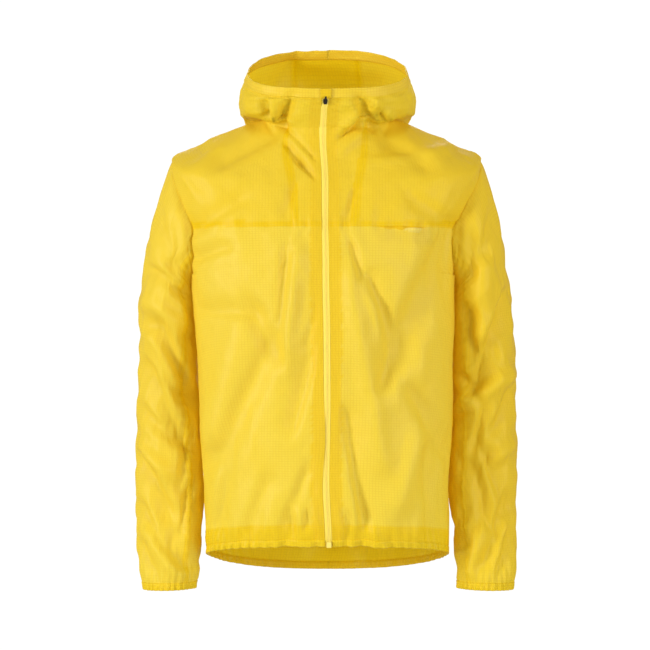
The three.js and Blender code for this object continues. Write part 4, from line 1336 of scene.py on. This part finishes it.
def shell_material(name, base, deep, through, share):
    """Thin ripstop: a fine grid of thicker threads, crinkles, doubled bands with painted shade, a painted
    highlight, and light coming through.
    """
    material, tree, shader = new_material(name, base, 0.5)
    shader.inputs["Specular IOR Level"].default_value = 0.3
    n = Nodes(tree)
    uv = n.add("ShaderNodeUVMap", uv_map="cloth").outputs["UV"]
    split = n.add("ShaderNodeSeparateXYZ")
    n.link(uv, split.inputs[0])
    across, along = split.outputs[0], split.outputs[1]
    threads = [grid_lines(n, way, RIPSTOP_PITCH, RIPSTOP_WIDTH) for way in (across, along)]
    ripstop = n.math("MAXIMUM", *threads)
    # The doubled attribute: above 0 deepens the colour for doubled cloth and as painted shade, below 0 paints
    # a highlight
    doubling_and_painted_light = n.add("ShaderNodeAttribute", attribute_name="doubled").outputs["Fac"]
    stretched = n.add("ShaderNodeMapping")
    n.link(uv, stretched.inputs["Vector"])
    stretched.inputs["Scale"].default_value = (1, 0.5, 1)
    cloudy = n.noise(stretched.outputs[0], 26)
    colour = n.mix(n.math("MULTIPLY", doubling_and_painted_light, 0.85), (*base, 1), (*deep, 1))
    # Painted highlight where the attribute is below 0
    colour = n.mix(n.math("MULTIPLY", doubling_and_painted_light, -0.8, clamp=True), colour, (*PAINTED_HIGHLIGHT, 1))
    colour = n.mix(n.math("MULTIPLY", ripstop, 0.24), colour, (*THREADS, 1))
    colour = n.mix(n.math("MULTIPLY", n.math("SUBTRACT", cloudy, 0.45, clamp=True), 0.6), colour, (*deep, 1))
    n.link(colour, shader.inputs["Base Color"])
    fine_threads = n.noise(uv, 2400, 1.0)
    crinkle = n.noise(stretched.outputs[0], 60, 5.0, 0.6)
    normal = n.bump(crinkle, 0.5, 0.0035)
    normal = n.bump(ripstop, 0.5, 0.0005, normal)
    normal = n.bump(fine_threads, 0.1, 0.0003, normal)
    n.link(normal, shader.inputs["Normal"])
    light = n.add("ShaderNodeBsdfTranslucent")
    n.link(n.mix(n.math("MULTIPLY", doubling_and_painted_light, 0.6), (*through, 1), (*deep, 1)), light.inputs["Color"])
    n.link(normal, light.inputs["Normal"])
    blend = n.add("ShaderNodeMixShader")
    blend.inputs["Fac"].default_value = share
    n.link(shader.outputs[0], blend.inputs[1])
    n.link(light.outputs[0], blend.inputs[2])
    n.link(blend.outputs[0], tree.nodes["Material Output"].inputs["Surface"])
    return material


SHELL = shell_material("ripstop", srgb(253, 229, 75), DEEP, srgb(253, 226, 32), share=0.3)
BINDING = shell_material("binding_cloth", srgb(248, 218, 34), srgb(244, 208, 14), srgb(248, 214, 12), 0.12)
TAPE, tape_tree, tape_shader = new_material("zip_tape_weave", srgb(248, 224, 90), 0.7)
tape = Nodes(tape_tree)
tape_uv = tape.add("ShaderNodeUVMap", uv_map="cloth").outputs["UV"]
tape.link(tape.bump(tape.noise(tape_uv, 1800, 1.0), 0.3, 0.0003), tape_shader.inputs["Normal"])
TEETH, _, _ = new_material("zip_teeth", srgb(252, 230, 112), 0.38)
THREAD, _, _ = new_material("thread", srgb(244, 214, 40), 0.6)
METAL, metal_tree, metal_shader = new_material("black_metal", srgb(34, 26, 20), 0.42)
metal = Nodes(metal_tree)
where = metal.add("ShaderNodeTexCoord").outputs["Object"]
metal.link(metal.bump(metal.noise(where, 900), 0.15, 0.0002), metal_shader.inputs["Normal"])


def finish(obj, material, slot, *nodes):
    obj.data.materials.append(material)
    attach(obj, "jacket")
    if nodes:
        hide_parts(*nodes)
    return obj


# The cut of each cloth piece: width, length and area in metres, how it is held, and what it hangs from.
# A side's piece stands for the one on each side, and hangs from pieces on its own side.
CUTS = {
    "back": (0.6, 0.76, 0.37, "hung", "yoke_left yoke_right hood_centre"),
    "front_SIDE": (0.28, 0.53, 0.12, "hung", "yoke_SIDE hood_side_SIDE"),
    "yoke_SIDE": (0.205, 0.29, 0.041, "hung", "back hood_side_SIDE"),
    "hood_side_SIDE": (0.44, 0.41, 0.065, "draped", "hood_centre yoke_SIDE"),
    "hood_centre": (0.12, 0.43, 0.043, "draped", "hood_side_left hood_side_right back"),
    "sleeve_SIDE": (0.49, 0.69, 0.205, "hung", "yoke_SIDE front_SIDE back"),
    "hood_hem": (0.92, 0.016, 0.0147, "hung", "hood_side_left hood_side_right hood_centre"),
    "hem_band": (1.15, 0.0108, 0.0124, "gathered", "front_left front_right back"),
    "cuff_SIDE": (0.31, 0.0112, 0.00347, "gathered", "sleeve_SIDE"),
    "zip_garage": (0.018, 0.014, 0.00025, "folded", "hood_hem"),
    "zip_tape_SIDE": (0.01, 0.69, 0.004, "hung", "zip_facing_SIDE"),
    "zip_facing_SIDE": (0.0185, 0.7, 0.0129, "hung", "front_SIDE hood_side_SIDE"),
    "pocket_facing": (0.082, 0.027, 0.0021, "hung", "front_left yoke_left"),
}

for name in sorted({patch.piece for patch in fine_patches} - {"hood_hem"}):
    finish(cloth_piece(name), SHELL, "shell_cloth", name)

hem = grids_of("hood_hem")[0]
hood_hem = shell_of("hood_hem", at[hem], normals[hem], 0.0, -1.5, lengths[hem], strength=0.3)
finish(hood_hem, SHELL, "facing_cloth", "hood_hem")
finish(trim_shell("hem_band", 0.85, -0.85), BINDING, "elastic_binding", "hem_band")
finish(trim_shell("zip_garage", 1.7, 0.5), SHELL, "facing_cloth", "zip_garage")
for name, side in SIDES:
    finish(trim_shell(f"cuff_{name}", 0.85, -0.85, wraps=True), BINDING, "elastic_binding", f"cuff_{name}")
    finish(trim_shell(f"zip_tape_{name}", -0.4, -1.0, strength=0.0), TAPE, "zip_tape", f"zip_tape_{name}")
    grids = [*grids_of(f"front_{name}"), *grids_of(f"hood_side_{name}")]
    strip = slice(0, FACING_END + 1)
    finish(facing_piece(f"zip_facing_{name}", grids, strip), SHELL, "facing_cloth", f"zip_facing_{name}")

mouth = grids_of("front_left")[0][-POCKET_FACING_ROWS:, POCKET_MOUTH[0] - 1 : POCKET_MOUTH[1] + 2]
pocket = shell_of("pocket_facing", at[mouth], normals[mouth], -1.0, -1.8, lengths[mouth])
finish(pocket, SHELL, "facing_cloth", "pocket_facing")

stitching = mesh_object("stitching", stitch_points, box_faces(len(stitch_points) // 8), smooth=False)
finish(stitching, THREAD, "shell_cloth")
teeth = mesh_object("zip_coil", coil_points, box_faces(len(coil_points) // 8), smooth=False)
finish(teeth, TEETH, "zip_plastic")

for cut, (width, length, area, held, rests_on) in CUTS.items():
    for side in ("left", "right") if "SIDE" in cut else ("",):
        name = cut.replace("SIDE", side)

for name, material in (("zip_slider", METAL), ("zip_pull_tab", METAL), ("zip_box", TEETH)):
    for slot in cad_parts[name].material_slots:
        slot.material = material


# Lights, floor and camera
def area_light(name, place, target, size, energy):
    data = bpy.data.lights.new(name, "AREA")
    data.shape = "RECTANGLE"
    data.size, data.size_y = size
    data.energy = energy
    light = bpy.data.objects.new(name, data)
    bpy.context.scene.collection.objects.link(light)
    light.location = place
    light.rotation_euler = (Vector(target) - Vector(place)).to_track_quat("-Z", "Y").to_euler()


area_light("key", (-2.7, -1.9, 0.1), (0, 0, -0.3), (0.8, 1.6), 82)
area_light("fill", (2.2, -2.3, 0.0), (0, 0, -0.3), (1.2, 2.0), 52)
area_light("back", (0, 2.4, 1.1), (0, 0, -0.1), (1.6, 1.2), 24)
area_light("top", (0, -0.8, 2.2), (0, 0, -0.2), (1.8, 1.4), 3)

# The studio is pale to the camera and dimmer as a light
STUDIO_LIGHT = 0.37
STUDIO_SEEN = 1.05
world = bpy.data.worlds.new("studio")
world.use_nodes = True
bpy.context.scene.world = world
studio = Nodes(world.node_tree)
lit = world.node_tree.nodes["Background"]
seen = studio.add("ShaderNodeBackground")
for background, strength in ((lit, STUDIO_LIGHT), (seen, STUDIO_SEEN)):
    background.inputs["Color"].default_value = (1, 1, 1, 1)
    background.inputs["Strength"].default_value = strength
pick = studio.add("ShaderNodeMixShader")
studio.link(studio.add("ShaderNodeLightPath").outputs["Is Camera Ray"], pick.inputs["Fac"])
studio.link(lit.outputs[0], pick.inputs[1])
studio.link(seen.outputs[0], pick.inputs[2])
studio.link(pick.outputs[0], world.node_tree.nodes["World Output"].inputs["Surface"])

# The floor lies as far below as it would under someone who wears the jacket
FLOOR_RADIUS, FLOOR_Z, FLOOR_CORNERS = 1100, -1450, 96
turns = np.arange(FLOOR_CORNERS) * 2 * math.pi / FLOOR_CORNERS
disc = np.full((FLOOR_CORNERS, 3), float(FLOOR_Z))
disc[:, 0], disc[:, 1] = FLOOR_RADIUS * np.cos(turns), FLOOR_RADIUS * np.sin(turns)
floor = mesh_object("floor", disc, [list(range(FLOOR_CORNERS))], smooth=False)
floor.data.materials.append(new_material("floor_paint", (0.86, 0.86, 0.85), 0.8)[0])

# The photo's view: straight from the front, from far enough for its flat perspective
CAMERA_PLACE = (-0.0031, -4, -0.3147)
CAMERA_LENS = 142.9
bpy.context.scene.view_settings.view_transform = "Standard"
camera = bpy.data.objects.new("camera", bpy.data.cameras.new("camera"))
bpy.context.scene.collection.objects.link(camera)
camera.data.sensor_width = 36
camera.data.lens = CAMERA_LENS
camera.location = CAMERA_PLACE
camera.rotation_euler = (math.pi / 2, 0, 0)
bpy.context.scene.camera = camera
